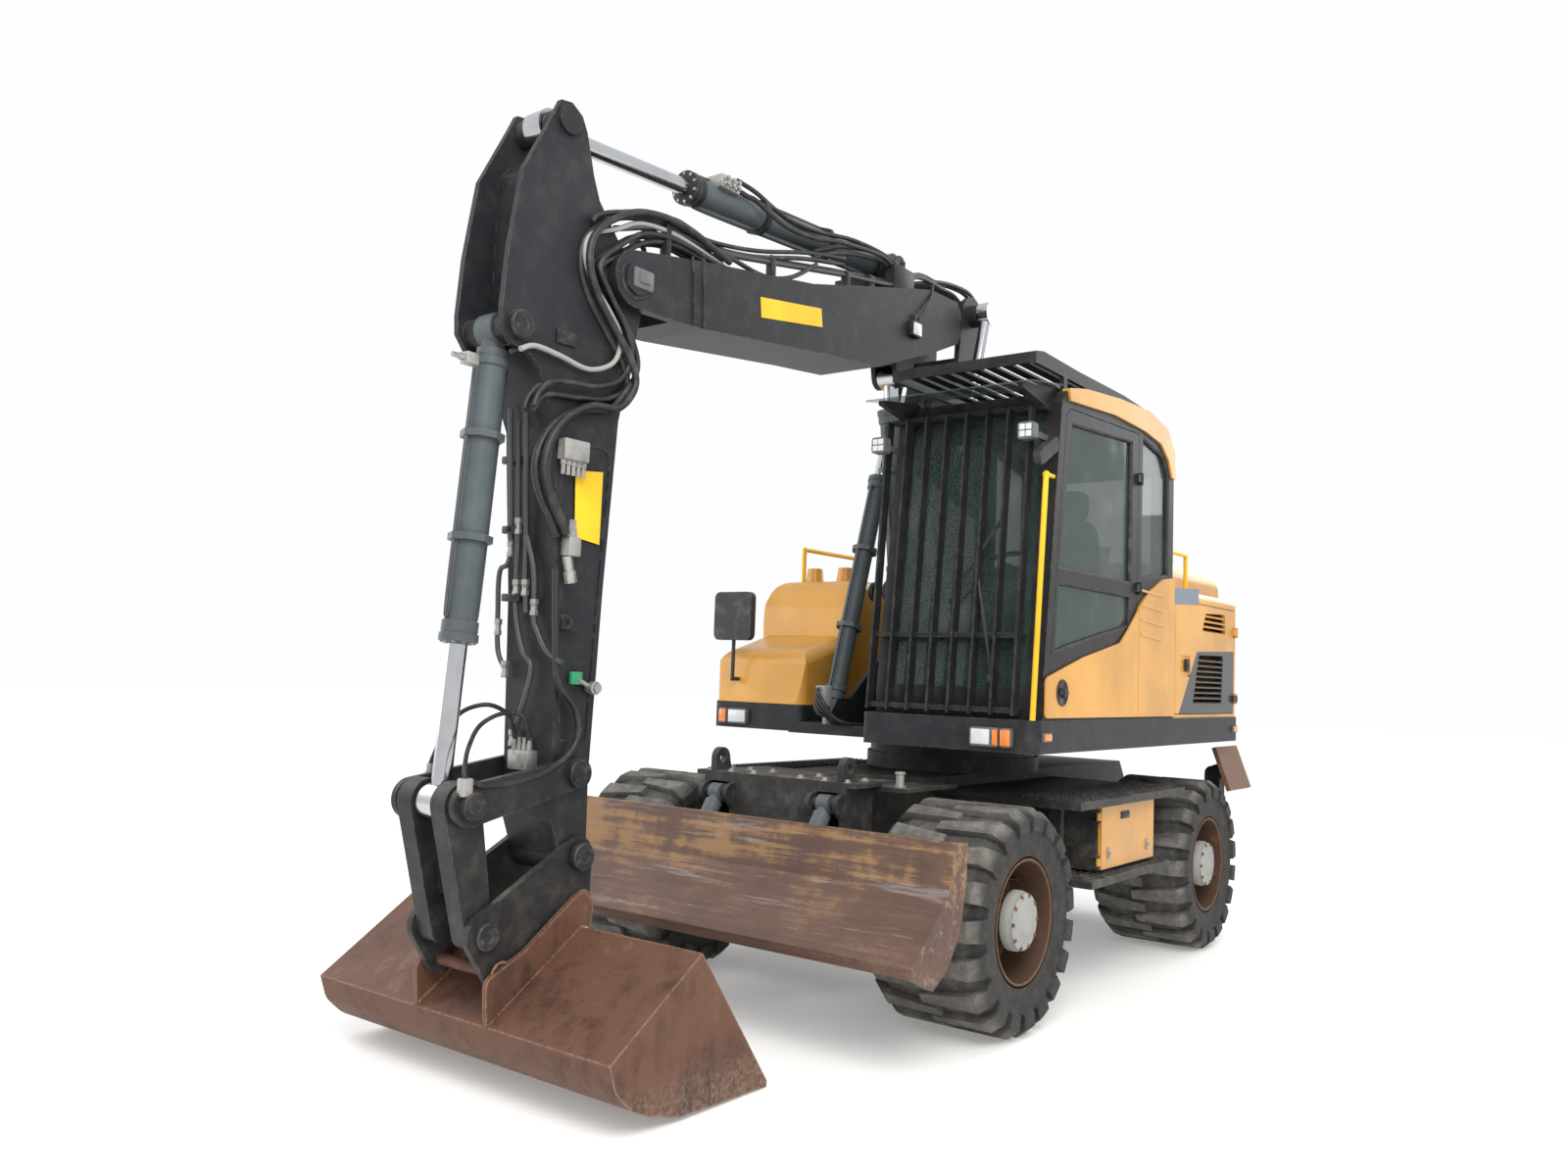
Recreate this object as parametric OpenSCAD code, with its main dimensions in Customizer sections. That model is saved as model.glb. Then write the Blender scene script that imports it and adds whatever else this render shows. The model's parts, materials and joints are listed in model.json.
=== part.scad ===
// Wheeled excavator of the 15 tonne class with a two-piece boom, a dozer blade in front and two outriggers behind.
// Millimetres, +Z up. The front is towards -Y, and the cab is on the machine's left side, +X.
// Inside the modules Y is measured from the middle of the wheelbase. Pin centres are [y, z] pairs.

/* [Wheels] */
// Distance between the front and rear axles
wheelbase = 2600; // [2400:20:2800]
// Distance between the middles of the left and right tyres
track = 1944; // [1900:4:2000]
// Radius of a tyre over its lugs
tyre_r = 525; // [500:5:540]
// Width of a tyre over its lugs
tyre_w = 600; // [540:10:620]
// Height of the tread lugs
lug_h = 34; // [20:2:44]
// Radius of the rim flange
rim_r = 300; // [280:5:310]
// Number of lugs along each shoulder of a tyre
lug_count = 19; // [15:1:24]
// Distance of each kingpin from the machine's centre line
kingpin_x = 770; // [740:5:800]

/* [Chassis] */
// Half width of the chassis frame
frame_half = 380; // [340:10:400]
// Height of the top of the chassis frame above the ground
frame_top = 1090; // [1070:5:1110]
// Distance of the slewing centre behind the middle of the wheelbase
slew_y = 200; // [100:10:300]
// Radius of the slewing pedestal
pedestal_r = 530; // [480:10:560]
// Distance of each front lifting lug from the centre line
lug_x = 405; // [395:5:440]
// Radius of the hole in a lifting lug
lug_hole_r = 24; // [18:1:28]
// Width of a tread step
step_w = 250; // [200:10:280]

/* [Blade] */
// Width of the dozer blade
blade_w = 2520; // [2400:10:2560]
// Thickness of the blade's plate
blade_t = 22; // [16:1:30]

/* [Outriggers] */
// Length of an outrigger leg from its pivot to its foot pin
leg_len = 675; // [640:5:700]
// Width of a foot pad along the machine
pad_w = 460; // [400:10:480]

/* [Upper] */
// Width of the upper structure over its side skirts
upper_w = 2490; // [2450:10:2500]
// Height of the underside of the skirts
skirt_z = 1290; // [1270:5:1300]
// Height of a skirt
skirt_h = 160; // [140:5:180]
// Radius of the rounded tail about the slewing centre
tail_r = 2060; // [2020:10:2100]
// Height of the engine housing's top
housing_top = 2235; // [2180:5:2280]
// Thickness of the housing's walls
wall_t = 24; // [16:2:30]

/* [Cab] */
// Place of the cab's inner side wall
cab_x0 = 290; // [285:5:310]
// Place of the cab's outer side
cab_x1 = 1235; // [1200:5:1240]
// Thickness of the cab's walls and of its door
cab_t = 50; // [40:2:60]
// Height of the cab roof
cab_top = 3170; // [3120:10:3200]
// Place of the left edge of the front guard
guard_x1 = 1130; // [1080:10:1150]
// Number of upright bars in the front guard
guard_bars = 8; // [5:1:10]
// Thickness of a guard bar
bar_t = 12; // [8:1:16]

/* [Boom and arm] */
// Place of the boom's middle plane across the machine
boom_x = -80; // [-110:5:-70]
// Half width of the outer boom
boom_half = 200; // [180:5:210]
// Half width of the lower boom
lower_half = 180; // [170:2:182]
// Half width of the arm
arm_half = 150; // [130:5:152]
// Radius of the boom foot pin and the knee pin
main_pin_r = 45; // [35:1:50]
// Radius of the cylinder and linkage pins
pin_r = 38; // [30:1:42]
// Running clearance round each pin
pin_gap = 0.08; // [0.05:0.01:0.1]
// Clearance beside an eye between its lugs
side_gap = 5; // [5:0.5:8]

/* [Bucket] */
// Width of the ditch-cleaning bucket
bucket_w = 1740; // [1500:20:1900]
// Thickness of the bucket's shell
bucket_t = 16; // [12:1:22]

/* [Hidden] */
$fn = 48;

front_y = -wheelbase/2;
rear_y = wheelbase/2;
wheel_z = tyre_r;
wheel_x = track/2;
// Pin centres in the boom's plane
foot_pin = [60, 1700];
knee_pin = [146, 3933];
boom_nose_pin = [-2884, 3305];
arm_top_pin = [-3266, 3872];
arm_tip_pin = [-3050, 861];
arm_idler_pin = [-3085, 1197];
link_pin = [-3612, 1098];
coupler_pin = [-3506, 606];
bucket_top_pin = [-3466, 2962];
lift_base_pin = [-620, 1420];
arm_base_pin = [-650, 4045];
adjust_base_pin = [-330, 2150];
adjust_rod_pin = [-520, 3420];
// Bucket outline on its side plates
lip_back = [-3053, 587];
bend_front = [-3513, 281];
heel = [-3300, 60];
edge_low = [-2635, 4];
// Blade linkage
front_plane = front_y - 100;
arch_z = 740;
blade_pivot = [front_plane - 100, 560];
blade_top = [front_plane - 606, 950];
blade_low = [front_plane - 939, 486];
blade_head_pin = [front_plane - 250, 1005];
blade_eye_pin = [front_plane - 505, 640];
blade_arm_x = 345;
blade_slot_half = 70;
small_pin_r = 26;
hinge_pin_r = 6;
hinge_r = 12;
hinge_off = 12;
link_eye_r = 85;
// Extents that set the origin at the middle of the whole machine
front_reach = link_pin[0] - link_eye_r;
rear_reach = slew_y + tail_r;
mid_y = (front_reach + rear_reach)/2;
mid_x = 0;

cheek_half = 450;
lug_hole = [front_plane - 168, 1176];
leg_y = rear_y + 690;
leg_half = 55;
leg_pivot = [1060, 380];
ram_base = [455, 790];
ram_eye = [950, 570];
knuckle_h = 110;
spindle_r = 55;
spindle_end = 30;
boom_lug_half = 145;
lift_half = 38;
adjust_half = 55;
arm_cyl_half = 50;
bucket_cyl_half = 50;
idler_gap = 12;
bucket_pins = [[-3040, 680], [-3440, 460]];
bucket_pin_r = 25;
ear_x = 200;
lift_x = 280;
slew_z = 1180;
// Clearance between pieces that rest on each other or slide
seat_gap = 0.3;
// Clearance round a door or lid
door_gap = 5;
deck_z = skirt_z + skirt_h;
upper_half = upper_w/2;
cab_front = -1140;
cab_rear = 620;
cab_face_low = [cab_front - 10, 1560];
cab_face_top = [-985, 3030];
door_hinge_z = [2180, 2800];
door_rear = 50;
right_front = -680;
right_inner = -540;
tail_y = slew_y + tail_r - 410;
housing_half = upper_half - 10;
hood_x0 = -700;
hood_x1 = 1050;
hood_y0 = 900;
hood_y1 = tail_y - 70;
hood_end = tail_y + 120;
hood_hinge = [hood_y0 - 30 - hinge_r - 2, housing_top + hinge_r + 2];
hood_hinge_x = [hood_x0 + 150, hood_x1 - 150];
side_door_y0 = 680;
side_door_y1 = tail_y - 30;
side_door_z0 = deck_z + 20;
side_door_z1 = housing_top - 70;
side_hinge_z = [deck_z + 120, housing_top - 220];
// Thickness of the panels and skins that lie on the cab's outside
skin_t = 14;

// Basic pieces
module place() translate([-mid_x, -mid_y, 0]) children();
module plate_x(x0, x1, pts) translate([x0, 0, 0]) rotate([90, 0, 90]) linear_extrude(x1 - x0) polygon(pts);
module shape_x(x0, x1) translate([x0, 0, 0]) rotate([90, 0, 90]) linear_extrude(x1 - x0) children();
module shape_y(y0, y1) translate([0, y1, 0]) rotate([90, 0, 0]) linear_extrude(y1 - y0) children();
module shape_z(z0, z1) translate([0, 0, z0]) linear_extrude(z1 - z0) children();
module rod_x(x0, x1, p, r) translate([x0, p[0], p[1]]) rotate([0, 90, 0]) cylinder(h = x1 - x0, r = r);
module block(lo, hi) translate(lo) cube(hi - lo);
module both_sides() { children(); mirror([1, 0, 0]) children(); }
module in_boom() translate([boom_x, 0, 0]) children();

// Places children, drawn along +Z from the origin, on the line from pin p towards pin q
module along(p, q) {
    translate([0, p[0], p[1]]) rotate([-atan2(q[0] - p[0], q[1] - p[1]), 0, 0]) children();
}
function dist(p, q) = norm(q - p);
function unit(v) = v/norm(v);
// Outline moved inwards by t, for points in anticlockwise order
function inset(pts, t) = [for (i = [0:len(pts) - 1]) let (
    n = len(pts),
    u = unit(pts[i] - pts[(i + n - 1) % n]),
    v = unit(pts[(i + 1) % n] - pts[i]),
    a = [-u[1], u[0]],
    b = [-v[1], v[0]])
    pts[i] + (a + b)*t/(1 + a*b)];

function pick(r, i) = is_list(r) ? r[i] : r;
// Corner i of an outline rounded with radius r: its two tangent points and the arc's centre
function corner(pts, r, i) = let (
    n = len(pts),
    p = pts[i],
    u = unit(pts[(i + n - 1) % n] - p),
    v = unit(pts[(i + 1) % n] - p),
    half = acos(u*v)/2)
    [p + u*r/tan(half), p + v*r/tan(half), p + unit(u + v)*r/sin(half)];
// Outline of anticlockwise points with rounded corners: one radius for all, or one for each
module rounded(pts, radii) {
    n = len(pts);
    corners = [for (i = [0:n - 1]) corner(pts, pick(radii, i), i)];
    turns = [for (i = [0:n - 1]) cross(pts[i] - pts[(i + n - 1) % n], pts[(i + 1) % n] - pts[i])];
    difference() {
        union() {
            polygon([for (i = [0:n - 1]) for (p = pick(radii, i) > 0 ? [corners[i][0], corners[i][1]] : [pts[i]]) p]);
            for (i = [0:n - 1]) if (pick(radii, i) > 0 && turns[i] > 0) translate(corners[i][2]) circle(pick(radii, i));
        }
        for (i = [0:n - 1]) if (pick(radii, i) > 0 && turns[i] < 0) translate(corners[i][2]) circle(pick(radii, i));
    }
}
function box_outline(lo, hi) = [lo, [hi[0], lo[1]], hi, [lo[0], hi[1]]];

// Outline round two circles, as the two circles and the quadrilateral between their tangent points
module link_outline(p, q, rp, rq) {
    d = dist(p, q);
    a = atan2(q[1] - p[1], q[0] - p[0]);
    b = acos((rp - rq)/d);
    translate(p) circle(rp);
    translate(q) circle(rq);
    polygon([p + rp*[cos(a + b), sin(a + b)], q + rq*[cos(a + b), sin(a + b)],
             q + rq*[cos(a - b), sin(a - b)], p + rp*[cos(a - b), sin(a - b)]]);
}

// Undercarriage
module chassis_frame() color("#2c3034") place() plate_x(-frame_half, frame_half, [
    [front_plane + seat_gap, frame_top], [front_plane + seat_gap, arch_z], [front_y + 200, arch_z], [front_y + 300, 540],
    [rear_y - 450, 480], [rear_y - 300, 560], [rear_y - 220, arch_z], [rear_y + 240, arch_z], [leg_y - 290, 330],
    [leg_y + 100, 330], [leg_y + 140, 430], [leg_y + 140, 900], [leg_y, frame_top]]);
// Front end with its table, lugs and slots for the blade's arms, and a bracket beside the frame for each outrigger
module end_frames() color("#2c3034") place() {
    difference() {
        union() {
            plate_x(-cheek_half, cheek_half, [
                [front_plane - 240, frame_top], [front_plane - 240, 640], [front_plane - 170, 480], [front_plane - 30, 480],
                [front_plane, arch_z], [front_plane, frame_top]]);
            block([-505, front_plane - 240, frame_top], [505, front_plane, frame_top + 22]);
            both_sides() block([frame_half + seat_gap, front_plane - 10, frame_top - 22], [640, front_plane + 520, frame_top - 2]);
            both_sides() front_lug();
            both_sides() blade_head_lugs();
        }
        both_sides() block([blade_arm_x - blade_slot_half, front_plane - 310, 400],
            [blade_arm_x + blade_slot_half, front_plane + 1, frame_top - 28]);
        both_sides() rod_x(lug_x - 40, lug_x + 40, lug_hole, lug_hole_r);
        block([-205, front_plane - 110, 400], [205, front_plane + 10, arch_z - 1]);
    }
    both_sides() rod_x(blade_arm_x - blade_slot_half - 1, blade_arm_x + blade_slot_half + 1, blade_pivot, pin_r);
    both_sides() rod_x(blade_arm_x - blade_slot_half - 20, blade_arm_x + blade_slot_half + 20, blade_head_pin, small_pin_r);
    both_sides() difference() {
        outrigger_bracket();
        block([-1, leg_y - 200, 300], [frame_half + seat_gap, leg_y + 200, frame_top]);
    }
}
module blade_head_lugs() for (x = [blade_arm_x - blade_slot_half - 25, blade_arm_x + blade_slot_half])
    shape_x(x, x + 25) link_outline([front_plane - 190, 985], blade_head_pin, 75, 52);
module front_lug() shape_x(lug_x - 18, lug_x + 18) {
    translate(lug_hole) circle(56);
    polygon([lug_hole + [-56, 0], lug_hole + [-56, frame_top - lug_hole[1]], lug_hole + [78, frame_top - lug_hole[1]],
        lug_hole + [56, 0]]);
}
module outrigger_bracket() {
    block([0, leg_y - 130, 330], [925, leg_y + 130, 460]);
    for (s = [-1, 1])
        translate([0, leg_y + s*(leg_half + side_gap), 0]) mirror([0, s < 0 ? 1 : 0, 0])
            translate([0, 35, 0]) rotate([90, 0, 0]) linear_extrude(35)
                link_outline([900, 395], leg_pivot, 65, 62);
    translate([leg_pivot[0], leg_y, leg_pivot[1]]) rotate([90, 0, 0])
        cylinder(h = 2*(leg_half + side_gap + 40), r = pin_r, center = true);
    for (s = [-1, 1]) translate([0, leg_y + s*53 + 14, 0]) rotate([90, 0, 0]) linear_extrude(28)
        link_outline([370, 800], ram_base, 80, 48);
    translate([ram_base[0], leg_y, ram_base[1]]) rotate([90, 0, 0]) cylinder(h = 120, r = small_pin_r, center = true);
}
module slew_pedestal() color("#2c3034") place()
    translate([0, slew_y, frame_top]) cylinder(h = slew_z - frame_top, r = pedestal_r, $fn = 96);

module axles() color("#2c3034") place() {
    front_axle_beam();
    rear_axle_beam();
}
module front_axle_beam() translate([0, front_y, wheel_z]) {
    difference() {
        rotate([0, 90, 0]) cylinder(h = 2*(kingpin_x + 55), r = 90, center = true);
        both_sides() translate([kingpin_x - 75, -200, -knuckle_h/2 - side_gap])
            cube([200, 400, knuckle_h + 2*side_gap]);
    }
    sphere(185);
    translate([-120, -95, 60]) cube([240, 190, 740 - wheel_z - 60]);
    both_sides() translate([kingpin_x, 0, 0]) {
        for (s = [-1, 1]) translate([0, 0, s*(knuckle_h/2 + side_gap + 15)])
            cylinder(h = 30, r = 55, center = true);
        cylinder(h = knuckle_h + 2*side_gap + 20, r = 25, center = true);
    }
}
module rear_axle_beam() translate([0, rear_y, wheel_z]) {
    rotate([0, 90, 0]) cylinder(h = 2*(wheel_x - 110), r = 100, center = true);
    rotate([0, 90, 0]) cylinder(h = 2*(wheel_x + spindle_end), r = spindle_r, center = true);
    sphere(195);
    translate([-250, -120, 60]) cube([500, 240, 740 - wheel_z - 60]);
}
module steps() color("#2c3034") place() both_sides() {
    block([frame_half, -690, 990], [1245, 850, 1030]);
    block([1245 - step_w, -540, 580], [1245, 600, 620]);
    for (y = [-520, 540]) block([1000, y, 620], [1060, y + 40, 990]);
}
module toolbox() color("#24282b") place() {
    difference() {
        block([420, -300, 640], [1165, 480, 990 - seat_gap]);
        block([445, -275, 665], [1200, 455, 960]);
    }
    door_lugs(1181, -312, [690, 930], [1150, -324], [1181, -298]);
}
module toolbox_door() color("#d9a02b") place() {
    block([1170, -292, 648], [1192, 472, 978]);
    door_knuckles(1181, -312, [690, 930], [1175, -312], [1187, -280], [1175, -290], [1187, -280]);
}
// Upright hinge at x, y: lugs with a pin at each height in zs, on a web with the corners a and b
module door_lugs(x, y, zs, a, b) for (z = zs) {
    translate([x, y, z - 34]) cylinder(h = 68, r = hinge_pin_r);
    for (dz = [-34, 22]) translate([0, 0, z + dz]) linear_extrude(12) {
        translate([x, y]) circle(hinge_r);
        translate(a) square(b - a);
    }
}
// Knuckles of a door hinge at x, y, with an arm of corners a and b and a root of corners c and d
module door_knuckles(x, y, zs, a, b, c, d) for (z = zs) difference() {
    translate([0, 0, z - 20]) linear_extrude(40) {
        translate([x, y]) circle(hinge_r);
        translate(a) square(b - a);
        translate(c) square(d - c);
    }
    translate([x, y, z - 30]) cylinder(h = 60, r = hinge_pin_r + pin_gap);
}
// The same for a door whose outer face is at x and whose opening ends at y
module out_door_knuckles(x, y, zs) door_knuckles(x + hinge_off, y + hinge_off, zs,
    [x + hinge_off - 6, y - 40], [x + hinge_off + 6, y + hinge_off],
    [x - 2, y - 40], [x + hinge_off + 6, y - 10]);
module knuckle(s) translate([s*kingpin_x, front_y, wheel_z]) {
    difference() {
        union() {
            cylinder(h = knuckle_h, r = 58, center = true);
            rotate([0, 90*s, 0]) cylinder(h = wheel_x - kingpin_x + spindle_end, r = spindle_r);
        }
        cylinder(h = 2*knuckle_h, r = 25 + pin_gap, center = true);
    }
}
module knuckle_left() color("#2c3034") place() knuckle(1);
module knuckle_right() color("#2c3034") place() knuckle(-1);

// A wheel about its own axis, outer side towards +Z
module rim_shape() {
    rotate_extrude() polygon([
        [rim_r - 22, -tyre_w/2 + 60], [rim_r, -tyre_w/2 + 60], [rim_r, tyre_w/2 - 30], [rim_r - 22, tyre_w/2 - 30],
        [rim_r - 30, 110], [rim_r - 30, 62], [130, 62], [126, 262], [60, 268], [0, 268], [0, spindle_end + side_gap],
        [spindle_r + pin_gap, spindle_end + side_gap], [spindle_r + pin_gap, -60], [140, -60], [140, 40],
        [rim_r - 22, 40]]);
}
// Carcass, and the lugs: radial prisms cut by the envelope of the tread, the two rows set half a pitch apart
module tyre_shape() {
    tread_r = tyre_r - lug_h;
    half = tyre_w/2;
    rotate_extrude() polygon([
        [rim_r, -half + 62], [rim_r + 60, -half + 22], [tread_r - 80, -half + 14], [tread_r - 20, -half + 34],
        [tread_r, -half + 90], [tread_r, half - 90], [tread_r - 20, half - 34], [tread_r - 80, half - 14],
        [rim_r + 60, half - 22], [rim_r, half - 32]]);
    intersection() {
        rotate_extrude() polygon([
            [tread_r - 104, -half + 40], [tread_r - 72, -half], [tyre_r - 46, -half], [tyre_r, -half + 52],
            [tyre_r, half - 52], [tyre_r - 46, half], [tread_r - 72, half], [tread_r - 104, half - 40]]);
        for (side = [-1, 1], i = [0:lug_count - 1]) rotate([0, 0, 360/lug_count*(i + side/4)])
            translate([tread_r - 110, 0, 0]) rotate([90, 0, 90]) linear_extrude(lug_h + 115) lug_plan(side);
    }
}
// Plan of a lug, tangentially and axially: narrow past the middle and broad over the shoulder
module lug_plan(side) mirror([0, side < 0 ? 1 : 0]) polygon([
    [30, -34], [26, 120], [24, tyre_w/2 + 5], [-76, tyre_w/2 + 5], [-48, 120], [-26, -34]]);
module at_wheel(sx, y) place() translate([sx*wheel_x, y, wheel_z]) rotate([0, 90*sx, 0]) children();
module rim_front_left() color("#5a3a28") at_wheel(1, front_y) rim_shape();
module rim_front_right() color("#5a3a28") at_wheel(-1, front_y) rim_shape();
module rim_rear_left() color("#5a3a28") at_wheel(1, rear_y) rim_shape();
module rim_rear_right() color("#5a3a28") at_wheel(-1, rear_y) rim_shape();
module tyre_front_left() color("#3a3a38") at_wheel(1, front_y) tyre_shape();
module tyre_front_right() color("#3a3a38") at_wheel(-1, front_y) tyre_shape();
module tyre_rear_left() color("#3a3a38") at_wheel(1, rear_y) tyre_shape();
module tyre_rear_right() color("#3a3a38") at_wheel(-1, rear_y) tyre_shape();

// Dozer blade: two press bends, end plates, and arms to the chassis
// Points given from the front plane
function from_front(pts) = [for (p = pts) [p[0] + front_plane, p[1]]];
module blade() color("#8a6a45") place() {
    plate_x(-blade_w/2, blade_w/2, concat([blade_top], from_front([[-663, 732], [-755, 645]]), [blade_low],
        from_front([[-930, 440], [-890, 470], [-740, 620], [-641, 725]]), [blade_top + [blade_t, 0]]));
    both_sides() plate_x(blade_w/2 - 22, blade_w/2, concat([blade_top], from_front([[-663, 732], [-755, 645]]), [blade_low],
        from_front([[-930, 440], [-764, 370], [-648, 440], [-547, 572], [-507, 778], [-500, 940]])));
    both_sides() difference() {
        shape_x(blade_arm_x - 50, blade_arm_x + 50) {
            link_outline(blade_pivot, [front_plane - 480, 600], 70, 60);
            polygon(from_front([[-480, 540], [-755, 610], [-660, 725], [-540, 745], [-460, 700]]));
        }
        rod_x(blade_arm_x - 60, blade_arm_x + 60, blade_pivot, pin_r + pin_gap);
        block([blade_arm_x - 30, front_plane - 585, 575], [blade_arm_x + 30, front_plane - 400, 760]);
    }
}
module blade_barrels() color("#3b444a") place() both_sides() translate([blade_arm_x, 0, 0])
    cylinder_barrel(blade_head_pin, blade_eye_pin, 44, 355, 46, 70, small_pin_r, 24);
module blade_rods() color("#c9ccce") place() both_sides() translate([blade_arm_x, 0, 0])
    cylinder_rod(blade_head_pin, blade_eye_pin, 24, 75, 38, 50);
// Outriggers, drawn for the left side
module outrigger_leg() translate([0, leg_y, 0]) difference() {
    union() {
        for (s = [-1, 1]) translate([0, s*(leg_half - 10) + 10, 0]) rotate([90, 0, 0]) linear_extrude(20) {
            link_outline(leg_pivot, leg_pivot + [0, leg_len], 62, 50);
            link_outline(leg_pivot, ram_eye, 62, 45);
        }
        translate([leg_pivot[0], 0, leg_pivot[1]]) rotate([90, 0, 0]) cylinder(h = 2*leg_half, r = 62, center = true);
        translate([leg_pivot[0] + 30, -leg_half, leg_pivot[1] + 90]) cube([20, 2*leg_half, leg_len - 120]);
        translate([leg_pivot[0], 0, leg_pivot[1] + leg_len]) {
            rotate([90, 0, 0]) cylinder(h = 2*leg_half, r = 50, center = true);
            rotate([0, -20, 0]) {
                translate([20, -leg_half, -50]) cube([92, 2*leg_half, 100]);
                translate([110, -pad_w/2, -150]) cube([28, pad_w, 300]);
            }
        }
    }
    translate([leg_pivot[0], 0, leg_pivot[1]]) rotate([90, 0, 0])
        cylinder(h = 200, r = pin_r + pin_gap, center = true);
}
module outrigger_left() color("#1e2124") place() outrigger_leg();
module outrigger_right() color("#1e2124") place() mirror([1, 0, 0]) outrigger_leg();
module in_leg_plane() translate([0, leg_y, 0]) rotate([0, 0, -90]) children();
module outrigger_barrel() in_leg_plane()
    cylinder_barrel(ram_base, ram_eye, 42, 475, 45, 64, small_pin_r, 24);
module outrigger_rod() in_leg_plane()
    cylinder_rod(ram_base, ram_eye, 24, 73, 38, 56);
module outrigger_barrel_left() color("#3b444a") place() outrigger_barrel();
module outrigger_barrel_right() color("#3b444a") place() mirror([1, 0, 0]) outrigger_barrel();
module outrigger_rod_left() color("#c9ccce") place() outrigger_rod();
module outrigger_rod_right() color("#c9ccce") place() mirror([1, 0, 0]) outrigger_rod();

// Upper structure
module upper_frame() color("#2c3034") place() {
    translate([0, slew_y, slew_z + seat_gap]) cylinder(h = skirt_z - slew_z - seat_gap, r = pedestal_r - 20, $fn = 96);
    block([right_inner, -800, skirt_z], [cab_x0 - 35, tail_y, skirt_z + 60]);
    shape_z(skirt_z, deck_z) {
        rounded(box_outline([cab_x0 - 35, cab_front - 90], [upper_half, tail_y]), [40, 60, 0, 0]);
        rounded(box_outline([-upper_half, right_front], [right_inner, tail_y]), [80, 30, 0, 0]);
    }
    in_boom() {
        both_sides() plate_x(lower_half + side_gap + 5, lower_half + side_gap + 35, [
            [-760, skirt_z], [-760, 1400], [-690, 1500], [-560, 1500], [-150, 1820], [60, 1850], [220, 1780],
            [420, skirt_z]]);
        rod_x(-lower_half - 40, lower_half + 40, foot_pin, main_pin_r);
        both_sides() rod_x(lower_half + side_gap + 30, lift_x + 44, lift_base_pin, pin_r);
    }
}
// Counterweight: its bulging section revolved about the slewing centre and cut to the machine's width
module counterweight() color("#24282b") place() intersection() {
    top = housing_top - 20;
    translate([0, slew_y, 0]) rotate_extrude($fn = 128) polygon([
        [0, skirt_z], [tail_r - 110, skirt_z], [tail_r - 20, skirt_z + 90], [tail_r, skirt_z + 200], [tail_r, top - 120],
        [tail_r - 25, top - 40], [tail_r - 90, top], [0, top]]);
    block([-upper_half, tail_y, skirt_z], [upper_half, slew_y + tail_r + 10, top]);
}
module engine_housing() color("#d9a02b") place() {
    difference() {
        shape_y(cab_rear + 30, tail_y) rounded(box_outline([-housing_half, deck_z], [housing_half, housing_top]), [0, 0, 50, 50]);
        block([-housing_half + wall_t, cab_rear + 30 + wall_t, deck_z - 1],
              [housing_half - wall_t, tail_y - wall_t, housing_top - wall_t]);
        block([hood_x0, hood_y0, housing_top - wall_t - 1], [hood_x1, hood_y1, housing_top + 1]);
        block([housing_half - wall_t - 1, side_door_y0, side_door_z0], [housing_half + 1, side_door_y1, side_door_z1]);
    }
    door_lugs(housing_half + hinge_off, side_door_y1 + hinge_off, side_hinge_z,
        [housing_half - 10, side_door_y1], [housing_half + hinge_off, side_door_y1 + 2*hinge_off]);
    hood_lugs();
}
// Lying hinge of the engine hood: lugs with a pin on the housing, and knuckles on the hood
module hood_lugs() for (x = hood_hinge_x) {
    rod_x(x - 34, x + 34, hood_hinge, hinge_pin_r);
    for (dx = [-34, 22]) shape_x(x + dx, x + dx + 12) {
        translate(hood_hinge) circle(hinge_r);
        translate([hood_hinge[0] - hinge_r, housing_top - 5]) square([2*hinge_r, hinge_r + 7]);
    }
}
module hood_knuckles() for (x = hood_hinge_x) difference() {
    shape_x(x - 20, x + 20) {
        translate(hood_hinge) circle(hinge_r);
        translate(hood_hinge - [0, hinge_pin_r]) square([hinge_r + 12, 2*hinge_pin_r]);
    }
    rod_x(x - 30, x + 30, hood_hinge, hinge_pin_r + pin_gap);
}
module engine_hood() color("#d9a02b") place() {
    hood_knuckles();
    difference() {
        hood_bulge(0);
        intersection() {
            hood_bulge(wall_t);
            block([hood_x0, hood_y0, housing_top - 1], [hood_x1, hood_y1, housing_top + 400]);
        }
        block([hood_x0 - 60, hood_y0 - 60, housing_top - 200], [hood_x1 + 60, hood_end + 60, housing_top + seat_gap]);
    }
}
// Bulging lid over the engine, or the room inside it, t further in
module hood_bulge(t) intersection() {
    z0 = housing_top + seat_gap;
    shape_x(hood_x0 - 30 + t, hood_x1 + 30 - t) rounded([
        [hood_y0 - 30 + t, z0 - 20], [hood_end - t, z0 - 20], [hood_end - t, z0 + 90], [hood_end - 180, z0 + 200 - t],
        [hood_y0 + 60, z0 + 190 - t], [hood_y0 - 30 + t, z0 + 90]], [0, 0, 60 - t, 150, 90, 60 - t]);
    shape_y(hood_y0 - 60, hood_end + 60) rounded([
        [hood_x0 - 30 + t, z0], [hood_x1 + 30 - t, z0], [hood_x1 + 30 - t, z0 + 210 - t], [hood_x0 - 30 + t, z0 + 210 - t]],
        [0, 0, 130 - t, 130 - t]);
}
// Vents of the service door: the big one low down and the small one above it
vents = [
    [[1000, 1530], [1560, 1530], [1590, 1850], [1110, 1840]],
    [[1165, 1985], [1640, 1990], [1625, 2125], [1235, 2110]]];
vent_pitch = 34;
module service_door() color("#d9a02b") place() {
    difference() {
        block([housing_half - wall_t, side_door_y0 + door_gap, side_door_z0 + door_gap],
              [housing_half, side_door_y1 - door_gap, side_door_z1 - door_gap]);
        for (v = vents) shape_x(housing_half - wall_t - 1, housing_half + 1) rounded(v, 20);
        shape_x(housing_half - 8, housing_half + 1) rounded(box_outline([770, 1700], [950, 1830]), 12);
    }
    for (v = vents) vent_bars(v);
    out_door_knuckles(housing_half, side_door_y1, side_hinge_z);
}
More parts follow.
